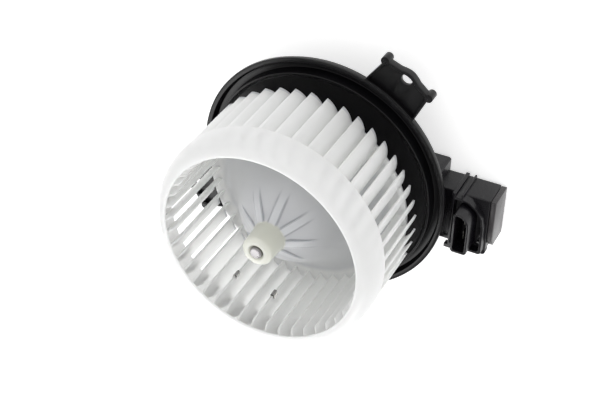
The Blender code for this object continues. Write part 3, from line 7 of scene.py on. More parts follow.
from __future__ import annotations

import json
import logging
from collections.abc import Callable, Sequence
from dataclasses import dataclass
from enum import Enum
from functools import cache
from math import atan2, cos, hypot, pi, radians, sin, sqrt

import bmesh
import bpy
from mathutils import Matrix, Vector


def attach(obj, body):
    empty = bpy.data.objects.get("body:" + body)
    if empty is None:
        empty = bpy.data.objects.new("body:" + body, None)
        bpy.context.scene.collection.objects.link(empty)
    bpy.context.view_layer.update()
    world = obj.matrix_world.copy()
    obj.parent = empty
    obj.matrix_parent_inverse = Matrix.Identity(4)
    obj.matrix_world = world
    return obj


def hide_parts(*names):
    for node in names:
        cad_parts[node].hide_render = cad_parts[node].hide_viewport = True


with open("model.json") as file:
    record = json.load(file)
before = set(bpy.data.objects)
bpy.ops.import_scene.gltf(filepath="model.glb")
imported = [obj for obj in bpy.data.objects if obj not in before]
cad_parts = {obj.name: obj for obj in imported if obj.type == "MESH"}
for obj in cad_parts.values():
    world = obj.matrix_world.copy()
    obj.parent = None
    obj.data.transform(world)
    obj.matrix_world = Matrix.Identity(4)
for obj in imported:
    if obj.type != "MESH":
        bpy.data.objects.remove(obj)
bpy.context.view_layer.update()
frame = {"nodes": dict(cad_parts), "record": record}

log = logging.getLogger("blower")

Pair = tuple[float, float]
Triple = tuple[float, float, float]
Numbers = tuple[float, ...]
Pairs = tuple[Pair, ...]
Piece = bpy.types.Object
Shape = bmesh.types.BMesh

# Where a noise swings about, and the start and gain that turn one into the share of a second colour.
NOISE_MIDDLE = 0.5
PLASTIC_CLOUDS = (0.35, 2.2)
METAL_CLOUDS = (0.4, 2.0)
# The wave texture's scale for one line a metre.
LINE_SCALE = 0.314
# Points nearer than this in metres are one point.
SAME_POINT = 0.000001
# Keeps a division from meeting nought.
TINY = 1e-9
# How many steps a turned shape has all round.
TURN_STEPS = 172
# Stands a flat outline up on its edge.
STAND = Matrix.Rotation(pi / 2, 4, "X")


def operator(operation: str) -> Callable[[Value, Value | float], Value]:
    """A method of Value that gives one Math node's result, with the value as first input."""
    return lambda value, other: value.math(operation, value, other)


class Value:
    """A number or colour that varies over a surface, held as the socket that carries it."""

    __add__ = __radd__ = operator("ADD")
    __sub__ = operator("SUBTRACT")
    __mul__ = operator("MULTIPLY")
    __pow__ = operator("POWER")
    over = operator("GREATER_THAN")
    least = operator("MINIMUM")
    most = operator("MAXIMUM")

    def __init__(self, nodes: Nodes, socket: bpy.types.NodeSocket) -> None:
        """Wraps the output that carries the value, and the nodes that it belongs to."""
        self.nodes = nodes
        self.socket = socket

    def math(self, operation: str, first: Value | float, second: Value | float) -> Value:
        """The result of one Math node with two inputs."""
        return self.nodes.value("Math", 0, {0: first, 1: second}, operation=operation)

    def __rsub__(self, other: float) -> Value:
        """Subtracts this from a number."""
        return self.math("SUBTRACT", other, self)

    def folded(self, pitch: float) -> Value:
        """How far this is from the nearest multiple of a pitch."""
        return self.math("PINGPONG", self, pitch / 2)

    def size(self) -> Value:
        """This without its sign."""
        return self.math("ABSOLUTE", self, 0.0)

    def lifted(self, start: float, gain: float) -> Value:
        """What stands above a start, times a gain."""
        return (self - start) * gain

    def swing(self, reach: float) -> Value:
        """A noise's swing about its middle, times its reach from end to end."""
        return self.lifted(NOISE_MIDDLE, reach)

    def ramp(self, start: float, end: float) -> Value:
        """A soft step from nought at the start to one at the end."""
        sockets = {"Value": self, "From Min": start, "From Max": end}
        return self.nodes.value("MapRange", "Result", sockets, interpolation_type="SMOOTHSTEP")

    def blend(self, first: Value | Triple, second: Value | Triple) -> Value:
        """A colour between two colours, with this as the second one's share.

        Args:
            first: The colour where this is nought.
            second: The colour where this is one.

        Returns:
            The mixed colour.
        """
        sockets = {0: self}
        for index, colour in ((6, first), (7, second)):
            sockets[index] = colour if isinstance(colour, Value) else (*colour, 1.0)
        return self.nodes.value("Mix", 2, sockets, data_type="RGBA")


class Nodes:
    """The nodes of a material or of the world."""

    def __init__(self, owner: bpy.types.Material | bpy.types.World) -> None:
        """Starts with the owner's shader.

        Args:
            owner: A new material or world.
        """
        owner.use_nodes = True
        self.tree = owner.node_tree
        self.shader = self.tree.nodes.get("Principled BSDF") or self.tree.nodes["Background"]

    def value(self, kind: str, output: int | str, sockets: dict | None = None, **settings: str) -> Value:
        """Adds a node and gives one of its results.

        Args:
            kind: The shader node's kind.
            output: The result's name or number.
            sockets: Its inputs by name or number, each a constant or a Value to link.
            **settings: The node's properties, set first.

        Returns:
            The result.
        """
        node = self.tree.nodes.new("ShaderNode" + kind)
        for key, setting in settings.items():
            setattr(node, key, setting)
        for key, value in (sockets or {}).items():
            self.feed(node.inputs[key], value)
        return Value(self, node.outputs[output])

    def feed(self, socket: bpy.types.NodeSocket, value: object) -> None:
        """Sets a socket, or links it.

        Args:
            socket: The input.
            value: A constant, or a Value to link.
        """
        if isinstance(value, Value):
            self.tree.links.new(value.socket, socket)
        else:
            socket.default_value = value

    def place(self, stretch: Triple = (1.0, 1.0, 1.0)) -> Value:
        """The point on the piece in metres, stretched by a factor for each axis."""
        sockets = {0: self.value("TexCoord", "Object"), 1: stretch}
        return self.value("VectorMath", 0, sockets, operation="MULTIPLY")

    def noise(self, size: float, detail: float = 3.0, stretch: Triple = (1.0, 1.0, 1.0)) -> Value:
        """Soft noise from 0 to 1, with spots of a size in metres and finer layers of detail."""
        sockets = {"Vector": self.place(stretch), "Scale": 1.0 / size, "Detail": detail}
        return self.value("TexNoise", "Fac", sockets)

    def cells(self, size: float) -> Value:
        """Distance to the nearest of points that are scattered at a mean distance in metres."""
        sockets = {"Vector": self.place(), "Scale": 1.0 / size}
        return self.value("TexVoronoi", "Distance", sockets)

    def lines(self, pitch: float) -> Value:
        """A wave of fine lines across the piece's own Z axis, a pitch in metres apart."""
        sockets = {"Vector": self.place(), "Scale": LINE_SCALE / pitch, "Distortion": 0.6, "Detail": 1.0}
        return self.value("TexWave", "Fac", sockets, wave_type="BANDS", bands_direction="Z")

    def round_axis(self) -> tuple[Value, Value, Value]:
        """Where a point is, seen from the fan's axis.

        Returns:
            Its distance from the axis, its angle round it and its height.
        """
        where = {0: self.place()}
        x, y, height = (self.value("SeparateXYZ", index, where) for index in range(3))
        return (x * x + y * y) ** 0.5, y.math("ARCTAN2", y, x), height

    def bump(self, height: Value, depth: float) -> None:
        """Lets a height from 0 to 1 stand out of the surface by a depth in metres."""
        sockets = {"Strength": 1.0, "Distance": depth, "Height": height}
        self.dress(Normal=self.value("Bump", "Normal", sockets))

    def dress(self, **sockets: object) -> None:
        """Sets or links the shader's sockets, named with underscores for spaces."""
        for key, value in sockets.items():
            self.feed(self.shader.inputs[key.replace("_", " ")], value)


@dataclass(frozen=True)
class Finish:
    """What a surface looks like: two colours that mix over it, and how they are painted."""

    name: str
    colour: Triple
    shade: Triple

    def paint(self, nodes: Nodes) -> None:
        """Feeds the shader of a new material through its nodes."""
        raise NotImplementedError

    @cache
    def material(self) -> bpy.types.Material:
        """Builds the material at its first use.

        Returns:
            The material.
        """
        material = bpy.data.materials.new(self.name)
        self.paint(Nodes(material))
        return material

    def dress(self, piece: Piece) -> None:
        """Gives a piece this finish all over.

        Args:
            piece: The piece or CAD node.
        """
        if not piece.material_slots:
            piece.data.materials.append(None)
        for slot in piece.material_slots:
            slot.material = self.material()


@dataclass(frozen=True)
class Moulding(Finish):
    """A moulded plastic: one colour with faint flow clouds and a fine eroded grain."""

    gloss: float = 0.4
    gloss_spread: float = 0.12
    grain: float = 0.00035
    grain_depth: float = 0.000012
    grain_gloss: float = 0.08
    clouds: float = 0.018
    shine: float = 0.35

    def paint(self, nodes: Nodes) -> None:
        """Paints the clouds and the grain.

        Args:
            nodes: The material's nodes.
        """
        clouds = nodes.noise(self.clouds)
        fine = nodes.noise(self.grain, 2.0)
        nodes.bump(fine, self.grain_depth)
        nodes.dress(Base_Color=clouds.lifted(*PLASTIC_CLOUDS).blend(self.colour, self.shade),
                    Roughness=self.gloss + clouds.swing(self.gloss_spread) + fine.swing(self.grain_gloss),
                    Metallic=0.0, Specular_IOR_Level=self.shine)


@dataclass(frozen=True)
class Translucent(Finish):
    """Unfilled white plastic that lets light through, painted darker as shade where the motor stands behind
    the hub, with painted shade along the hub's ribs and painted light in the ring's hollow.
    """

    # Painted shade: the hub's darker colour stands in for the motor that shows dark through it.
    hub: Triple
    boss: Triple
    # Painted shade in the corners along the hub's ribs: its colour, share, width and fading.
    painted_crease_shade: Triple = (0.36, 0.37, 0.4)
    crease_shade_share: float = 0.7
    crease_shade_width: Pair = (0.0001, 0.0012)
    crease_shade_end: Pair = (0.0225, 0.0285)
    # Painted light: the paler colour of the ring's hollow, and where that hollow lies.
    inner: Triple = (0.985, 0.985, 0.97)
    ring_centre: Pair = (0.0658, 0.1068)
    ring_inside: Pair = (0.008, 0.0146)
    ring_edge: float = 0.93
    ring_start: float = 0.092
    hub_shade_edge: Pair = (0.056, 0.0622)
    hub_shade_top: Pair = (0.056, 0.0566)
    boss_edge: Pair = (0.0106, 0.0118)
    rib_count: int = 8
    rib_start: float = radians(-9.0)
    rib_half: float = 0.00285
    clouds: float = 0.03
    grain: float = 0.0006
    grain_depth: float = 0.000005
    gloss: float = 0.34
    gloss_spread: float = 0.1
    grain_gloss: float = 0.06
    glow: float = 0.85
    glow_depth: float = 0.009
    glow_colour: Triple = (1.0, 1.0, 0.97)

    def paint(self, nodes: Nodes) -> None:
        """Paints the blades and ring, the hub and the boss, and lets light in.

        Args:
            nodes: The material's nodes.
        """
        clouds = nodes.noise(self.clouds)
        fine = nodes.noise(self.grain, 2.0)
        radius, angle, height = nodes.round_axis()
        # Painted light: the ring's hollow is painted paler, for the light that goes to and fro in it.
        out = (radius - self.ring_centre[0]).most(0.0) * (1.0 / self.ring_inside[0])
        up = (height - self.ring_centre[1]).most(0.0) * (1.0 / self.ring_inside[1])
        painted_hollow_light = 1.0 - ((out * out + up * up) ** 0.5).ramp(self.ring_edge, 1.0)
        painted_hollow_light = painted_hollow_light * height.ramp(self.ring_start, self.ring_centre[1])
        body = clouds.lifted(*PLASTIC_CLOUDS).blend(self.colour, self.shade)
        body = painted_hollow_light.blend(body, self.inner)
        # Painted shade: the corners along the hub's ribs are painted darker, less so towards their outer
        # ends.
        across = (angle - self.rib_start).folded(2 * pi / self.rib_count) * radius
        painted_crease_shade = 1.0 - (across - self.rib_half).size().ramp(*self.crease_shade_width)
        painted_crease_shade = painted_crease_shade * (1.0 - radius.ramp(*self.crease_shade_end)) * self.crease_shade_share
        hub = painted_crease_shade.blend(self.hub, self.painted_crease_shade)
        # Painted shade: the hub takes a darker colour than the blades, for the motor that stands behind it.
        wheel = radius.ramp(*self.hub_shade_edge).least(height.ramp(*self.hub_shade_top)).blend(hub, body)
        nodes.bump(fine, self.grain_depth)
        nodes.dress(Base_Color=radius.ramp(*self.boss_edge).blend(self.boss, wheel),
                    Roughness=self.gloss + clouds.swing(self.gloss_spread) + fine.swing(self.grain_gloss),
                    Metallic=0.0, Subsurface_Weight=self.glow, Subsurface_Radius=self.glow_colour,
                    Subsurface_Scale=self.glow_depth)


class Working(Enum):
    """How a metal surface was made."""

    TURNED = "turned"
    ROLLED = "rolled"
    PLATED = "plated"
    SINTERED = "sintered"


@dataclass(frozen=True)
class Metal(Finish):
    """A metal with the marks of its making."""

    working: Working
    gloss: float = 0.25
    pitch: float = 0.00022
    spots: float = 0.008
    gloss_spread: float = 0.15
    mark_gloss: float = 0.1
    mark_depth: float = 0.000004
    pore_depth: float = 0.00003

    def marks(self, nodes: Nodes) -> Value:
        """The marks that the working leaves.

        Args:
            nodes: The material's nodes.

        Returns:
            Their height, from 0 to 1.
        """
        if self.working is Working.TURNED:
            return nodes.lines(self.pitch)
        if self.working is Working.ROLLED:
            return nodes.noise(self.pitch * 4, 2.0, (1.0, 1.0, 0.05))
        if self.working is Working.PLATED:
            return nodes.cells(self.pitch * 6)
        return nodes.noise(self.pitch)

    def paint(self, nodes: Nodes) -> None:
        """Paints the tarnish and the marks.

        Args:
            nodes: The material's nodes.
        """
        clouds = nodes.noise(self.spots)
        marks = self.marks(nodes)
        nodes.bump(marks, self.pore_depth if self.working is Working.SINTERED else self.mark_depth)
        nodes.dress(Base_Color=clouds.lifted(*METAL_CLOUDS).blend(self.colour, self.shade),
                    Roughness=self.gloss + marks.swing(self.mark_gloss) + clouds.swing(self.gloss_spread),
                    Metallic=1.0)


@dataclass(frozen=True)
class Compound(Finish):
    """A dull solid with speckles: rubber, ferrite, carbon, laminate or board."""

    gloss: float = 0.7
    size: float = 0.0006
    share: float = 0.62
    coat: float = 0.0
    gloss_spread: float = 0.15
    strength: float = 0.6
    depth: float = 0.00002

    def paint(self, nodes: Nodes) -> None:
        """Paints the speckles.

        Args:
            nodes: The material's nodes.
        """
        speckles = nodes.noise(self.size)
        nodes.bump(speckles, self.depth)
        share = speckles.over(self.share) * self.strength
        nodes.dress(Base_Color=share.blend(self.colour, self.shade), Metallic=0.0, Coat_Weight=self.coat,
                    Roughness=self.gloss + speckles.swing(self.gloss_spread))


@dataclass(frozen=True)
class Winding(Finish):
    """Enamelled copper wire, wound side by side, with painted shade between the turns."""

    wire: float = 0.0008
    gloss: float = 0.45
    crest_gloss: float = 0.18
    metal: float = 0.85

    def paint(self, nodes: Nodes) -> None:
        """Paints the turns.

        Args:
            nodes: The material's nodes.
        """
        turns = nodes.lines(self.wire)
        nodes.bump(turns, self.wire / 3)
        # Painted shade: the darker colour between the turns.
        nodes.dress(Base_Color=turns.blend(self.shade, self.colour), Metallic=self.metal,
                    Roughness=self.gloss - turns * self.crest_gloss)


SATIN_BLACK = Moulding("satin_black", (0.003, 0.0028, 0.0034), (0.0044, 0.0041, 0.005), 0.3, 0.05,
                       grain_depth=0.000004, shine=0.28)
BOX_BLACK = Moulding("box_black", (0.0048, 0.0042, 0.0058), (0.0074, 0.0066, 0.0088), 0.28, 0.06,
                     grain_depth=0.000005, shine=0.36)
COVER_GREY = Moulding("cover_grey", (0.048, 0.045, 0.047), (0.06, 0.056, 0.058), 0.28)
# Its third colour is painted shade on the hub, for the motor behind it; its fourth is the boss's colour.
NATURAL_WHITE = Translucent("natural_white", (0.93, 0.935, 0.915), (0.905, 0.915, 0.89),
                            (0.67, 0.68, 0.7), (0.68, 0.685, 0.615))
NYLON = Moulding("natural_nylon", (0.62, 0.6, 0.52), (0.56, 0.54, 0.46), 0.45)
GROUND_STEEL = Metal("ground_steel", (0.3, 0.29, 0.295), (0.22, 0.21, 0.215), Working.TURNED, 0.3)
ZINC = Metal("zinc_plated_steel", (0.62, 0.62, 0.61), (0.5, 0.5, 0.5), Working.PLATED, 0.3)
SPRING = Metal("spring_steel", (0.55, 0.54, 0.52), (0.42, 0.41, 0.39), Working.ROLLED, 0.26)
LAMINATED = Metal("core_laminations", (0.3, 0.3, 0.31), (0.2, 0.2, 0.21), Working.TURNED, 0.42,
                  0.0005)
DARK_PLATED = Metal("dark_plated_steel", (0.26, 0.26, 0.27), (0.18, 0.18, 0.19), Working.PLATED, 0.38)
COPPER = Metal("bare_copper", (0.72, 0.4, 0.26), (0.56, 0.3, 0.2), Working.TURNED, 0.3)
BRASS = Metal("sheet_brass", (0.72, 0.58, 0.32), (0.6, 0.46, 0.24), Working.ROLLED, 0.28)
TINNED = Metal("tinned_brass", (0.12, 0.115, 0.105), (0.08, 0.077, 0.072), Working.PLATED, 0.46)
BRONZE = Metal("sintered_bronze", (0.52, 0.37, 0.22), (0.42, 0.29, 0.17), Working.SINTERED, 0.46)
ENAMELLED = Winding("enamelled_wire", (0.62, 0.26, 0.13), (0.16, 0.06, 0.03))
RUBBER = Compound("black_rubber", (0.02, 0.02, 0.022), (0.034, 0.034, 0.036), 0.78, 0.0004)
LEAD_COVER = Compound("lead_insulation", (0.025, 0.025, 0.027), (0.036, 0.036, 0.038), 0.55, 0.0012)
FERRITE = Compound("ferrite", (0.055, 0.055, 0.06), (0.1, 0.1, 0.105), 0.6)
CARBON = Compound("pressed_carbon", (0.04, 0.038, 0.036), (0.1, 0.095, 0.09), 0.5)
LAMINATE = Compound("brown_laminate", (0.26, 0.15, 0.07), (0.33, 0.21, 0.11), 0.55, 0.0015)
BOARD = Compound("board_lacquer", (0.035, 0.14, 0.065), (0.05, 0.19, 0.09), 0.35, 0.0025, 0.55, 0.3)


def add(name: str, data: bpy.types.ID) -> Piece:
    """Links a new object to the scene.

    Args:
        name: Its name.
        data: Its mesh, curve, lamp or camera.

    Returns:
        The object.
    """
    thing = bpy.data.objects.new(name, data)
    bpy.context.scene.collection.objects.link(thing)
    return thing


def remove(things: Sequence[Piece]) -> None:
    """Takes objects out of the scene."""
    for thing in things:
        bpy.data.objects.remove(thing, do_unlink=True)


def evaluated(thing: Piece) -> bpy.types.Mesh:
    """A new mesh of an object with its modifiers applied, or of a curve's surface."""
    bpy.context.view_layer.update()
    return bpy.data.meshes.new_from_object(thing.evaluated_get(bpy.context.evaluated_depsgraph_get()))


def made(name: str, shape: Shape) -> Piece:
    """Makes a piece of a shape.

    Args:
        name: The piece's name.
        shape: Its shape, which is used up.

    Returns:
        The piece.
    """
    mesh = bpy.data.meshes.new(name)
    shape.to_mesh(mesh)
    shape.free()
    return add(name, mesh)


def turned(name: str, outline: Sequence[Pair]) -> Piece:
    """Turns a closed outline round Z.

    Args:
        name: The piece's name.
        outline: Its (radius, height) pairs, the outer side running down.

    Returns:
        The piece.
    """
    mesh = bpy.data.meshes.new(name)
    edges = [(index, (index + 1) % len(outline)) for index in range(len(outline))]
    mesh.from_pydata([(radius, 0.0, height) for radius, height in outline], edges, [])
    piece = add(name, mesh)
    screw = piece.modifiers.new("Turned", "SCREW")
    screw.steps = screw.render_steps = TURN_STEPS
    screw.use_merge_vertices = True
    screw.merge_threshold = SAME_POINT
    return piece


def soften(piece: Piece, width: float, steps: int, angle: float = 30.0) -> Piece:
    """Rounds a piece's sharp edges.

    Args:
        piece: The piece.
        width: The rounding's width in metres.
        steps: How many faces each rounding has.
        angle: The least angle between faces that counts as an edge, in degrees.

    Returns:
        The piece.
    """
    bevel = piece.modifiers.new("Rounded edges", "BEVEL")
    bevel.width = width
    bevel.segments = steps
    bevel.limit_method = "ANGLE"
    bevel.angle_limit = radians(angle)
    return piece


def baked(piece: Piece, angle: float = 40.0) -> Piece:
    """Applies a piece's modifiers and shades it smooth but for its sharp edges.

    Args:
        piece: The piece.
        angle: The least angle between faces that stays sharp, in degrees.

    Returns:
        The piece.
    """
    mesh = evaluated(piece)
    piece.modifiers.clear()
    piece.data = mesh
    mesh.shade_smooth()
    mesh.set_sharp_from_angle(angle=radians(angle))
    return piece


def joined(name: str, parts: Sequence[Piece]) -> Piece:
    """Puts several baked pieces in one object.

    Args:
        name: The new piece's name.
        parts: The pieces, which are removed.

    Returns:
        The piece that holds them all.
    """
    shape = bmesh.new()
    for part in parts:
        shape.from_mesh(part.data)
    remove(parts)
    return made(name, shape)


def fused(name: str, parts: Sequence[Piece]) -> Piece:
    """Fuses closed pieces into one solid, so that light spreads through it without inner walls.

    Args:
        name: The solid's name.
        parts: The pieces. The first becomes the solid and the others are removed.

    Returns:
        The solid.
    """
    whole, *others = parts
    for other in others:
        union = whole.modifiers.new("Fused", "BOOLEAN")
        union.operation = "UNION"
        union.solver = "MANIFOLD"
        union.object = other
    solid = baked(whole, 38.0)
    remove(others)
    solid.name = name
    return solid


def plate(name: str, outline: Sequence[Pair], low: float, high: float, rounding: Numbers,
          holes: Sequence[Sequence[Pair]] = (), turn: Matrix | None = None) -> Piece:
    """A flat outline between two heights, with rounded edges.

    Args:
        name: The piece's name.
        outline: Its (x, y) pairs.
        low: Its lower height.
        high: Its upper height.
        rounding: The width and the steps of its rounded edges.
        holes: Outlines of holes through it.
        turn: A move for the whole plate.

    Returns:
        The piece.
    """
    curve = bpy.data.curves.new(name, "CURVE")
    curve.dimensions = "2D"
    curve.fill_mode = "BOTH"
    curve.extrude = (high - low) / 2
    for loop in (outline, *holes):
        spline = curve.splines.new("POLY")
        spline.points.add(len(loop) - 1)
        for point, (x, y) in zip(spline.points, loop):
            point.co = (x, y, 0.0, 1.0)
        spline.use_cyclic_u = True
    drawn = add(name + "_outline", curve)
    shape = bmesh.new()
    shape.from_mesh(evaluated(drawn))
    remove([drawn])
    bmesh.ops.remove_doubles(shape, verts=shape.verts, dist=SAME_POINT)
    bmesh.ops.recalc_face_normals(shape, faces=shape.faces)
    bmesh.ops.translate(shape, verts=shape.verts, vec=(0.0, 0.0, (low + high) / 2))
    if turn is not None:
        bmesh.ops.transform(shape, verts=shape.verts, matrix=turn)
    return baked(soften(made(name, shape), *rounding))


def at_angle(radius: float, angle: float) -> Pair:
    """The point at a radius and an angle round the axis."""
    return radius * cos(angle), radius * sin(angle)


def arc(radius: float, start: float, end: float, steps: int, centre: Pair = (0.0, 0.0)) -> list[Pair]:
    """Points of an arc in so many steps round a centre, both ends included."""
    turns = [start + (end - start) * step / steps for step in range(steps + 1)]
    return [(centre[0] + x, centre[1] + y) for x, y in (at_angle(radius, turn) for turn in turns)]


def circle(radius: float, steps: int, centre: Pair) -> list[Pair]:
    """Points of a whole circle in so many steps round a centre."""
    return arc(radius, 0.0, 2 * pi * (steps - 1) / steps, steps - 1, centre)


def places(count: int, start: float = 0.0) -> list[Matrix]:
    """Even turns about the axis, so many to a whole turn, from a first angle."""
    return [Matrix.Rotation(start + 2 * pi * index / count, 4, "Z") for index in range(count)]


def smooth_row(points: Sequence[Pair], steps: int) -> list[Pair]:
    """A smooth curve through a row of points.

    Args:
        points: The points that it passes through.
        steps: How many steps it has between two of them.

    Returns:
        The finer row, both ends included.
    """
    stops = [Vector(point) for point in points]
    ends = [2 * stops[0] - stops[1], *stops, 2 * stops[-1] - stops[-2]]
    row = []
    for before, start, end, after in zip(ends, ends[1:], ends[2:], ends[3:]):
        for step in range(steps):
            t = step / steps
            row.append(tuple(0.5 * (2 * start + (end - before) * t
                                    + (2 * before - 5 * start + 4 * end - after) * t ** 2
                                    + (3 * start - before - 3 * end + after) * t ** 3)))
    row.append(tuple(stops[-1]))
    return row


@dataclass
class FanWheel:
    """The white moulded wheel: dished hub with ribs, curved blades and the bell-mouthed ring."""

    rear: float = 0.0538
    radius: float = 0.075
    blade_count: int = 43
    blade_inner: float = 0.06275
    blade_tip: float = 0.0741
    blade_thickness: float = 0.0012
    blade_sweep: float = radians(9.4)
    blade_inlet: float = radians(10.0)
    blade_start: float = radians(4.8)
    rear_rise: float = 0.0024
    window: float = 0.048
    bite: float = 0.0001
    skirt: float = 0.005
    crown: float = 0.0158
    wall: float = 0.0018
    mouth: float = 0.0649
    hub_wall: float = 0.002
    hub_rim: float = 0.06925
    rim_top: float = 0.0572
    boss_foot: float = 0.0105
    boss_face: float = 0.01
    boss_rounding: float = 0.003
    boss_height: float = 0.018
    bore: float = 0.0043
    rib_count: int = 8
    rib_start: float = radians(-9.0)
    rib_width: float = 0.0055
    rib_proud: float = 0.0015
    rib_length: float = 0.0175
    dish: Pairs = ((0.0105, 0.1063), (0.0272, 0.0938), (0.0405, 0.0759), (0.05361, 0.0616),
                              (0.06425, 0.0572), (0.06925, 0.0572))
    boss_sweep: Pairs = ((-0.0002, 0.004), (0.0001, 0.0016), (0.0009, 0.0001))
    boss_clear: float = 0.0012
    bore_mouth: Pairs = ((0.0, 0.001), (0.0007, 0.0004), (0.0012, 0.0))
    sleeve_wall: float = 0.003
    sleeve_drop: float = 0.009
    mouth_fall: float = 1.5
    blade_steps: int = 10
    blade_rounding: Numbers = (0.0003, 2, 60.0)
    window_steps: int = 4
    crown_steps: int = 2
    ring_steps: int = 18
    rib_root: float = 0.001
    rib_steps: int = 6
    rib_rounding: Numbers = (0.0004, 3)

    @property
    def crown_start(self) -> float:
        """Height where the ring's straight skirt ends."""
        return self.rear + self.window + self.skirt

    @property
    def mouth_centre(self) -> float:
        """Radius of the middle of the mouth's rounded lip."""
        return self.mouth + self.wall / 2

    def blade_place(self, share: float) -> Pair:
        """A point of the first blade's curved middle line.

        Args:
            share: 0 at the inner edge, 1 at the tip.

        Returns:
            The (x, y) point.
        """
        tip = at_angle(self.blade_tip, self.blade_sweep)
        chord = atan2(tip[1], tip[0] - self.blade_inner)
        bend = chord - self.blade_inlet
        radius = hypot(tip[0] - self.blade_inner, tip[1]) / (2 * sin(bend))
        heading = self.blade_inlet + 2 * bend * share
        x = self.blade_inner + radius * (sin(heading) - sin(self.blade_inlet))
        return x, radius * (cos(self.blade_inlet) - cos(heading))

    def crown_inside(self, radius: float) -> float:
        """Height of the ring's inner face, which the blades' front ends just reach into.

        Args:
            radius: Distance from the axis.

        Returns:
            The height.
        """
        reach = self.radius - self.wall - self.mouth_centre
        share = min(1.0, max(0.0, (radius - self.mouth_centre) / reach))
        height = self.crown_start + (self.crown - self.wall) * sqrt(1 - share ** 2)
        return height + self.bite - max(0.0, self.mouth_centre - radius) * self.mouth_fall

    def blade_rows(self, share: float) -> list[Triple]:
        """One line of points up a blade, drawn in where it stands inside the ring.

        Args:
            share: 0 at the blade's inner edge, 1 at its tip.

        Returns:
            The points, from the rear end to the front end.
        """
        x, y = self.blade_place(share)
        low = self.rear + self.rear_rise * (1.0 - share)
        edge = self.rear + self.window
        steps = self.window_steps
        rows = [(x, y, low + (edge - low) * step / steps) for step in range(steps + 1)]
        limit = self.radius - self.wall + self.bite - self.blade_inner
        drawn = min(share, share * limit / (hypot(x, y) - self.blade_inner + TINY))
        x, y = self.blade_place(drawn)
        high = self.crown_inside(hypot(x, y))
        steps = self.crown_steps
        start = edge + self.bite
        return rows + [(x, y, start + (high - edge) * step / steps) for step in range(steps + 1)]

    def blades(self) -> Piece:
        """All the blades, each a curved sheet with rounded edges.

        Returns:
            The blades in one piece.
        """
        columns = [self.blade_rows(step / self.blade_steps) for step in range(self.blade_steps + 1)]
        shape = bmesh.new()
        for turn in places(self.blade_count, self.blade_start):
            grid = [[shape.verts.new(turn @ Vector(point)) for point in rows] for rows in columns]
            for near, far in zip(grid, grid[1:]):
                for low in range(len(near) - 1):
                    shape.faces.new((near[low], far[low], far[low + 1], near[low + 1]))
        blades = made("blades", shape)
        sheet = blades.modifiers.new("Thickness", "SOLIDIFY")
        sheet.thickness = self.blade_thickness
        sheet.offset = 0.0
        return baked(soften(blades, *self.blade_rounding))

    def ring(self) -> Piece:
        """The bell-mouthed ring that ties the blades' front ends.

        Returns:
            The piece.
        """
        turns = [pi / 2 * step / self.ring_steps for step in range(self.ring_steps + 1)]
        outside, inside = ([(self.mouth_centre + (self.radius - inset - self.mouth_centre) * cos(turn),
                             self.crown_start + (self.crown - inset) * sin(turn)) for turn in turns]
                           for inset in (0.0, self.wall))
        edge = self.rear + self.window
        ease = self.wall / 4
        foot = [(self.radius, edge + ease), (self.radius - ease, edge),
                (self.radius - self.wall + ease, edge), (self.radius - self.wall, edge + ease)]
        middle = (self.mouth_centre, self.crown_start + self.crown - self.wall / 2)
        lip = arc(self.wall / 2, -pi / 2, -3 * pi / 2, 8, middle)[1:-1]
        return baked(turned("ring", outside[::-1] + foot + inside + lip), 50.0)

    def face(self) -> list[Pair]:
        """The dished front of the hub from the boss's foot to the rim."""
        return smooth_row(self.dish, 6)

    def face_height(self, radius: float) -> float:
        """Height of the hub's front at a radius, carried on straight inside the boss.

        Args:
            radius: Distance from the axis.

        Returns:
            The height.
        """
        points = self.face()
        for (near, high), (far, low) in zip(points, points[1:]):
            if radius <= far:
                break
        return high + (low - high) * (radius - near) / (far - near)

    def hub(self) -> Piece:
        """The hub with its boss, its filleted foot and its rounded shoulder.

        Returns:
            The piece.
        """
        face = self.face()
        back = []
        for before, (radius, height), after in zip(face, face[1:], face[2:] + face[-1:]):
            run = hypot(after[0] - before[0], after[1] - before[1])
            across = ((before[1] - after[1]) / run, (after[0] - before[0]) / run)
            back.append((radius - self.hub_wall * across[0], height - self.hub_wall * across[1]))
        back[-1] = (self.hub_rim, self.rim_top - self.hub_wall)
        foot = self.dish[0][1]
        top = foot + self.boss_height
        rounding = self.boss_rounding
        shoulder = arc(rounding, pi / 2, radians(3.0), 6, (self.boss_face - rounding, top - rounding))
        sweep = [(self.boss_foot + out, foot + up) for out, up in self.boss_sweep]
        face = [point for point in face if point[0] > self.boss_foot + self.boss_clear]
        sleeve = self.bore + self.sleeve_wall
        low = foot - self.sleeve_drop
        inside = [(sleeve, self.face_height(sleeve) - 2 * self.hub_wall), (sleeve, low), (self.bore, low)]
        mouth = [(self.bore + out, top - down) for out, down in self.bore_mouth]
        outline = shoulder + sweep + face + back[::-1] + inside + mouth
        return baked(turned("hub", outline), 35.0)

    def ribs(self) -> Piece:
        """The flat-topped ribs that run out from the boss over the hub.

        Returns:
            The ribs in one piece.
        """
        start = self.boss_foot - self.rib_root
        end = self.boss_foot + self.rib_length
        reach = [start + (end - start) * step / self.rib_steps for step in range(self.rib_steps)]
        over = [(radius, self.face_height(radius) + self.rib_proud * (1 - (step / self.rib_steps) ** 2))
                for step, radius in enumerate(reach)]
        over.append((end, self.face_height(end) - self.bite))
        under = [(radius, self.face_height(radius) - self.hub_wall / 2) for radius in (end, start)]
        half = self.rib_width / 2
        outline = over + under
        return joined("ribs", [plate("rib", outline, -half, half, self.rib_rounding, turn=turn @ STAND)
                               for turn in places(self.rib_count, self.rib_start)])

    def build(self) -> Piece:
        """Builds the wheel and puts it in the CAD wheel's place.

        Returns:
            The wheel.
        """
        wheel = fused("fan_wheel_moulding", [self.hub(), self.ribs(), self.ring(), self.blades()])
        NATURAL_WHITE.dress(wheel)
        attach(wheel, "rotor")
        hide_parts("fan_wheel")
        return wheel


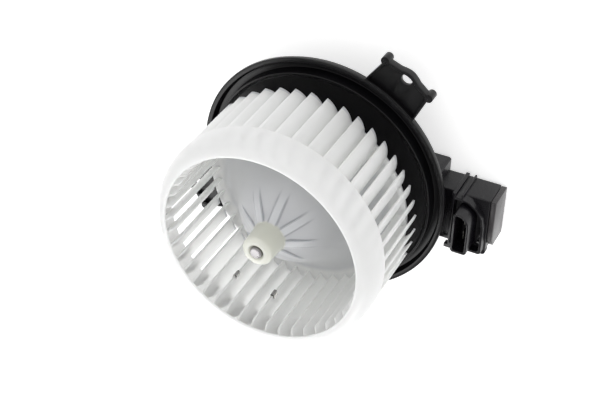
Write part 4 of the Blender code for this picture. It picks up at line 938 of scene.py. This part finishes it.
@dataclass
class Flange:
    """The black moulded flange: rim, seal groove, ridge, dish, motor cup, ears and ribs."""

    rim_height: float = 0.0363
    rim: float = 0.0859
    rim_width: float = 0.0032
    rim_thickness: float = 0.0025
    groove_width: float = 0.0054
    groove_depth: float = 0.005
    ridge_width: float = 0.0015
    ridge_height: float = 0.0036
    wall: float = 0.0024
    dish_low: float = 0.001
    dish_high: float = 0.0102
    dish_curve: float = 2.5
    cup: float = 0.0375
    cup_wall: float = 0.0025
    cup_rise: float = 0.0185
    cup_lip: float = 0.002
    cup_base: float = 0.0035
    ear_angles: Numbers = (radians(58.6), radians(-88.0), radians(-157.0))
    ear_reach: float = 0.10932
    ear_half: float = 0.0202
    ear_taper: float = 0.0027
    ear_shoulder: float = 0.10188
    ear_thickness: float = 0.0051
    ear_step: float = 0.0004
    ear_wall: float = 0.0015
    ear_pocket: float = 0.0026
    ear_hole: float = 0.0036
    ear_hole_radius: float = 0.1028
    post: float = 0.0028
    post_length: float = 0.0024
    rib_thickness: float = 0.0018
    rib_base: float = 0.0246
    lug_radius: float = 0.0402
    lug: float = 0.0042
    lug_height: float = 0.015
    lug_angles: Numbers = (radians(60.0), radians(180.0), radians(300.0))
    screw_hole: float = 0.0018
    boss_places: Pairs = ((0.064, -0.0265), (0.064, 0.0242))
    boss: float = 0.00378
    neck_top: float = 0.0243
    neck_gap: float = 0.0003
    dish_start: float = 0.03
    dish_share: float = 0.91
    cup_sweep: Pairs = ((0.0, 0.0012), (0.0005, 0.0002))
    ear_post_side: float = 0.82
    ear_post_out: float = 0.0035
    ear_tip: Pairs = ((0.0023, 0.36), (0.0014, 0.26), (0.0007, 0.16), (0.0002, 0.07))
    ear_tip_inset: float = 1.6
    ear_floor_inset: float = 0.0002
    ear_floor_gap: float = 0.0001
    rib_count: int = 12
    shell_rounding: Numbers = (0.00035, 3, 34.0)
    floor_rounding: Numbers = (0.00025, 2)
    wall_rounding: Numbers = (0.0003, 3)
    post_rounding: Numbers = (0.0005, 3)
    lug_rounding: Numbers = (0.0003, 2)

    def dish_row(self, drop: float, steps: int) -> list[Pair]:
        """The dish between the ridge and the cup.

        Args:
            drop: How far it is lowered.
            steps: How many steps it has.

        Returns:
            Its (radius, height) pairs from the ridge inwards.
        """
        start = self.rim - self.rim_width - self.groove_width - 1.5 * self.ridge_width
        row = []
        for step in range(steps + 1):
            share = self.dish_start + self.dish_share * step / steps
            rise = self.dish_low + (self.dish_high - self.dish_low) * share ** self.dish_curve
            row.append((start + (self.cup - start) * share, self.rim_height + rise - drop))
        return row

    def shell(self) -> Piece:
        """The turned part of the moulding, with its edges rounded.

        Returns:
            The piece.
        """
        top = self.rim_height
        groove_outer = self.rim - self.rim_width
        groove_inner = groove_outer - self.groove_width
        ridge_inner = groove_inner - self.ridge_width
        ridge_foot = ridge_inner - self.ridge_width / 2
        floor = top - self.groove_depth
        wall_foot = groove_outer - self.rim_thickness / 2
        outer_wall = wall_foot + self.wall * 0.8
        under = floor - self.wall
        bore = self.cup - self.cup_wall
        cup_top = top + self.cup_rise
        lip = cup_top - self.cup_wall
        inner_wall = ridge_foot - self.wall / 3
        dish_top = top + self.dish_high
        outside = [(self.rim, top), (self.rim, top - self.rim_thickness),
                   (outer_wall, top - self.rim_thickness * 1.2), (outer_wall, under),
                   (inner_wall, under), (inner_wall, top + self.dish_low - self.wall)]
        inner_lip = bore - self.cup_lip
        cup = [(self.cup, dish_top - self.wall), (self.cup, self.cup_base), (bore, self.cup_base),
               (bore, lip), (inner_lip, lip), (inner_lip, cup_top), (self.cup, cup_top)]
        cup += [(self.cup + out, dish_top + up) for out, up in self.cup_sweep]
        ridge = [(ridge_foot, top + self.ridge_height * 0.6), (ridge_inner, top + self.ridge_height),
                 (groove_inner, top + self.ridge_height)]
        groove = [(groove_inner, floor), (wall_foot, floor), (groove_outer, top)]
        outline = outside + self.dish_row(self.wall, 12) + cup + self.dish_row(0.0, 12)[::-1]
        outline += ridge + groove
        return baked(soften(turned("shell", outline), *self.shell_rounding), 35.0)

    def ear_loop(self, root: float, inset: float) -> list[Pair]:
        """An ear's whole outline, out to its rounded tip and back.

        Args:
            root: Radius of the arc that it starts on.
            inset: How far it is drawn in.

        Returns:
            Its closed (outward, sideways) pairs.
        """
        side = atan2(self.ear_half - inset, root)
        tip = self.ear_reach - inset * self.ear_tip_inset
        edge = [(self.ear_shoulder - inset / 2, self.ear_half - self.ear_taper - inset),
                (self.ear_shoulder + self.ear_post_out - inset, self.ear_half * self.ear_post_side - inset)]
        edge += [(tip - back, self.ear_half * share) for back, share in self.ear_tip]
        return arc(root, -side, side, 10) + edge + [(out, -across) for out, across in reversed(edge)]

    def ear(self, angle: float) -> list[Piece]:
        """One ear: its floor with the bolt hole, the wall round it and its two posts.

        Args:
            angle: Its angle round the axis.

        Returns:
            Its parts.
        """
        turn = Matrix.Rotation(angle, 4, "Z")
        top = self.rim_height - self.ear_step
        low = top - self.ear_thickness
        root = self.rim - self.rim_width + self.ear_step
        hole = circle(self.ear_hole, 36, (self.ear_hole_radius, 0.0))
        pocket = self.ear_loop(self.rim + 2 * self.ear_step, self.ear_wall)
        loop = self.ear_loop(root, 0.0)
        parts = [plate("ear_floor", self.ear_loop(root, self.ear_floor_inset), low + self.ear_floor_gap,
                       top - self.ear_pocket, self.floor_rounding, (hole,), turn),
                 plate("ear_wall", loop, low, top, self.wall_rounding, (pocket,), turn)]
        reach = self.ear_shoulder + self.post * 0.8
        side = self.ear_half - self.post * 1.15
        for across in (side, -side):
            ring = circle(self.post, 24, (reach, across))
            parts.append(plate("ear_post", ring, low - self.post_length, top - self.ear_step,
                               self.post_rounding, turn=turn))
        return parts

    def under_ribs(self) -> list[Piece]:
        """The radial ribs under the dish, none where the box's neck passes.

        Returns:
            A piece for each rib.
        """
        start = self.cup - self.cup_wall / 2
        end = self.dish_row(0.0, 4)[0][0]
        above = [(radius, height - self.wall / 2) for radius, height in self.dish_row(0.0, 6)]
        top = self.rim_height + self.dish_high - self.wall / 2
        base = self.rim_height - self.groove_depth - self.wall / 2
        outline = [(start, top), (start, self.rib_base), (end, base)] + above
        half = self.rib_thickness / 2
        return [plate("under_rib", outline, -half, half, self.floor_rounding, turn=turn @ STAND)
                for turn in places(self.rib_count)[1:]]

    def tubes(self) -> list[Piece]:
        """The lugs on the cup for the cover's screws and the bosses for the box's screws.

        Returns:
            A piece for each.
        """
        low = self.cup_base
        lugs = [(at_angle(self.lug_radius, angle), self.lug, low, low + self.lug_height)
                for angle in self.lug_angles]
        low = self.neck_top + self.neck_gap
        top = self.rim_height + self.dish_low - self.wall / 2
        lugs += [(place, self.boss, low, top) for place in self.boss_places]
        return [plate("lug", circle(radius, 36, place), base, high, self.lug_rounding,
                      (circle(self.screw_hole, 20, place),)) for place, radius, base, high in lugs]

    def build(self) -> Piece:
        """Builds the flange and puts it in the CAD flange's place.

        Returns:
            The flange.
        """
        parts = [self.shell(), *self.under_ribs(), *self.tubes()]
        for angle in self.ear_angles:
            parts += self.ear(angle)
        flange = joined("flange_moulding", parts)
        SATIN_BLACK.dress(flange)
        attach(flange, "stator")
        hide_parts("flange_housing")
        return flange


# The other nodes by finish and by the width of their rounded edges. Those with 0 keep their solids.
SMALL_PARTS = (
    (SPRING, 0.00012, "balance_clip_1 balance_clip_2"),
    (GROUND_STEEL, 0.00045, "motor_shaft"),
    (LAMINATED, 0, "armature_core"),
    (ENAMELLED, 0, "armature_winding noise_choke"),
    (COPPER, 0, "commutator"),
    (NYLON, 0, "upper_thrust_washer lower_thrust_washer"),
    (SATIN_BLACK, 0.00035, "rear_cover"),
    (ZINC, 0.0003, "motor_can"),
    (ZINC, 0, "end_plate"),
    (FERRITE, 0, "magnet_1 magnet_2"),
    (SPRING, 0, "magnet_spring_1 magnet_spring_2 upper_bearing_retainer lower_bearing_retainer"),
    (SPRING, 0, "brush_spring_1 brush_spring_2"),
    (BRONZE, 0, "upper_bearing lower_bearing"),
    (LAMINATE, 0, "brush_card capacitor"),
    (BRASS, 0, "brush_holder_1 brush_holder_2"),
    (CARBON, 0, "brush_1 brush_2"),
    (RUBBER, 0.0003, "upper_isolator"),
    (RUBBER, 0, "lower_isolator"),
    (DARK_PLATED, 0.00015, "cover_screw_1 cover_screw_2 cover_screw_3 box_screw_1 box_screw_2"),
    (BOX_BLACK, 0.00035, "connector_box"),
    (COVER_GREY, 0.0004, "box_cover"),
    (BOARD, 0, "circuit_board"),
    (TINNED, 0.0002, "terminal_1 terminal_2"),
    (LEAD_COVER, 0, "lead_1 lead_2"),
)


@dataclass
class SmallParts:
    """The other nodes: those that show become pieces with rounded edges, the rest keep their solids."""

    same_point: float = 0.000002
    flat: float = radians(1.0)
    sharp: float = 32.0

    def rounded(self, name: str, width: float) -> Piece:
        """A piece with a node's form and rounded edges, in the node's place.

        Args:
            name: The node.
            width: The rounding's width in metres.

        Returns:
            The piece.
        """
        shape = bmesh.new()
        shape.from_mesh(frame["nodes"][name].data)
        bmesh.ops.remove_doubles(shape, verts=shape.verts, dist=self.same_point)
        inner = [edge for edge in shape.edges if edge.is_manifold]
        flat = [edge for edge in inner if edge.calc_face_angle() < self.flat]
        bmesh.ops.dissolve_edges(shape, edges=flat, use_verts=False)
        piece = baked(soften(made(name + "_finished", shape), width, 3, self.sharp), self.sharp)
        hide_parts(name)
        return piece

    def build(self) -> None:
        """Makes the pieces that show and dresses every node."""
        record = frame["record"]
        riders = {name: body for body, names in record["behaviour"]["bodies"].items() for name in names}
        parts = [(name, finish, width) for finish, width, names in SMALL_PARTS for name in names.split()]
        for name, finish, width in parts:
            if width:
                piece = self.rounded(name, width)
                finish.dress(piece)
                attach(piece, riders[name])
            else:
                finish.dress(frame["nodes"][name])
        log.info("%d small parts", len(parts))


@dataclass(frozen=True)
class Lamp:
    """A square soft lamp that points at the object: where it stands, its width and its watts."""

    name: str
    direction: Triple
    distance: float
    size: float
    power: float
    aim: Triple = (0.0, 0.0, 0.07)

    def build(self) -> None:
        """Adds the lamp to the scene."""
        data = bpy.data.lights.new(self.name, "AREA")
        data.size = self.size
        data.energy = self.power
        lamp = add(self.name, data)
        out = Vector(self.direction).normalized()
        lamp.location = Vector(self.aim) + out * self.distance
        lamp.rotation_euler = out.to_track_quat("Z", "Y").to_euler()


LAMPS = (
    Lamp("top_softbox", (0.05, 0.9, 0.45), 1.2, 1.0, 0.6),
    Lamp("front_softbox", (0.3, 0.45, 0.8), 1.4, 1.0, 0.8),
    Lamp("left_softbox", (-0.72, -0.15, 0.68), 1.3, 0.45, 0.8),
    Lamp("mouth_softbox", (-0.43, -0.57, 0.7), 1.3, 0.6, 4.0),
    Lamp("low_softbox", (-0.4, -0.9, 0.15), 1.2, 0.7, 3.8),
    Lamp("bottom_softbox", (0.4, -0.88, 0.28), 1.2, 0.6, 3.0),
)


@dataclass
class Studio:
    """The white studio: floor, soft lamps and the camera at the photograph's place."""

    camera_place: Triple = (0.2906, 0.4986, 0.6519)
    camera_right: Triple = (0.8914, 0.0132, -0.4531)
    camera_up: Triple = (-0.2839, 0.7955, -0.5353)
    camera_back: Triple = (0.3534, 0.6057, 0.7129)
    sensor: float = 36.0
    lens: float = 78.0
    sight: Pair = (0.01, 50.0)
    floor_size: float = 8.0
    floor_gap: float = 0.0004
    floor_grey: float = 0.86
    floor_glow: float = 0.55
    tent: float = 0.9
    opening: Triple = (-0.35, -0.61, 0.71)
    opening_edge: Pair = (0.76, 0.96)
    opening_drop: float = 0.72

    def camera(self) -> None:
        """The camera, fitted to the photograph."""
        data = bpy.data.cameras.new("camera")
        data.sensor_width = self.sensor
        data.lens = self.lens
        data.clip_start, data.clip_end = self.sight
        camera = add("camera", data)
        columns = Matrix((self.camera_right, self.camera_up, self.camera_back)).transposed()
        camera.matrix_world = Matrix.Translation(self.camera_place) @ columns.to_4x4()
        bpy.context.scene.camera = camera

    def floor(self) -> None:
        """A white floor that keeps a soft shadow and glows only where it is seen."""
        shape = bmesh.new()
        bmesh.ops.create_grid(shape, x_segments=1, y_segments=1, size=self.floor_size)
        ground = made("floor", shape)
        ground.location.z = -self.floor_gap
        material = bpy.data.materials.new("floor_white")
        nodes = Nodes(material)
        seen = nodes.value("LightPath", "Is Camera Ray")
        for kind in ("Glossy", "Transmission"):
            seen = seen + nodes.value("LightPath", f"Is {kind} Ray")
        glow = seen.least(1.0).blend((0.0, 0.0, 0.0), (self.floor_glow,) * 3)
        nodes.dress(Base_Color=(*(self.floor_grey,) * 3, 1.0), Roughness=1.0, Emission_Color=glow,
                    Emission_Strength=1.0)
        ground.data.materials.append(material)

    def world(self) -> None:
        """A pale tent of light, darker round one opening, and white to the camera."""
        world = bpy.data.worlds.new("studio")
        bpy.context.scene.world = world
        sky = Nodes(world)
        sockets = {0: sky.value("TexCoord", "Generated"), 1: self.opening}
        facing = sky.value("VectorMath", "Value", sockets, operation="DOT_PRODUCT")
        tent = self.tent - facing.ramp(*self.opening_edge) * self.opening_drop
        seen = sky.value("LightPath", "Is Camera Ray")
        sky.dress(Color=(1.0, 1.0, 1.0, 1.0), Strength=seen + (1.0 - seen) * tent)

    def build(self) -> None:
        """Sets up the studio."""
        self.camera()
        self.floor()
        self.world()
        for lamp in LAMPS:
            lamp.build()
        bpy.context.scene.view_settings.view_transform = "Standard"


def main() -> None:
    """Builds the studio and every piece, and reports each through the log."""
    logging.basicConfig(level=logging.INFO, format="%(name)s: %(message)s")
    Studio().build()
    log.info("studio ready")
    SmallParts().build()
    for maker in (FanWheel(), Flange()):
        piece = maker.build()
        log.info("%s has %d faces", piece.name, len(piece.data.polygons))


if __name__ == "__main__":
    main()
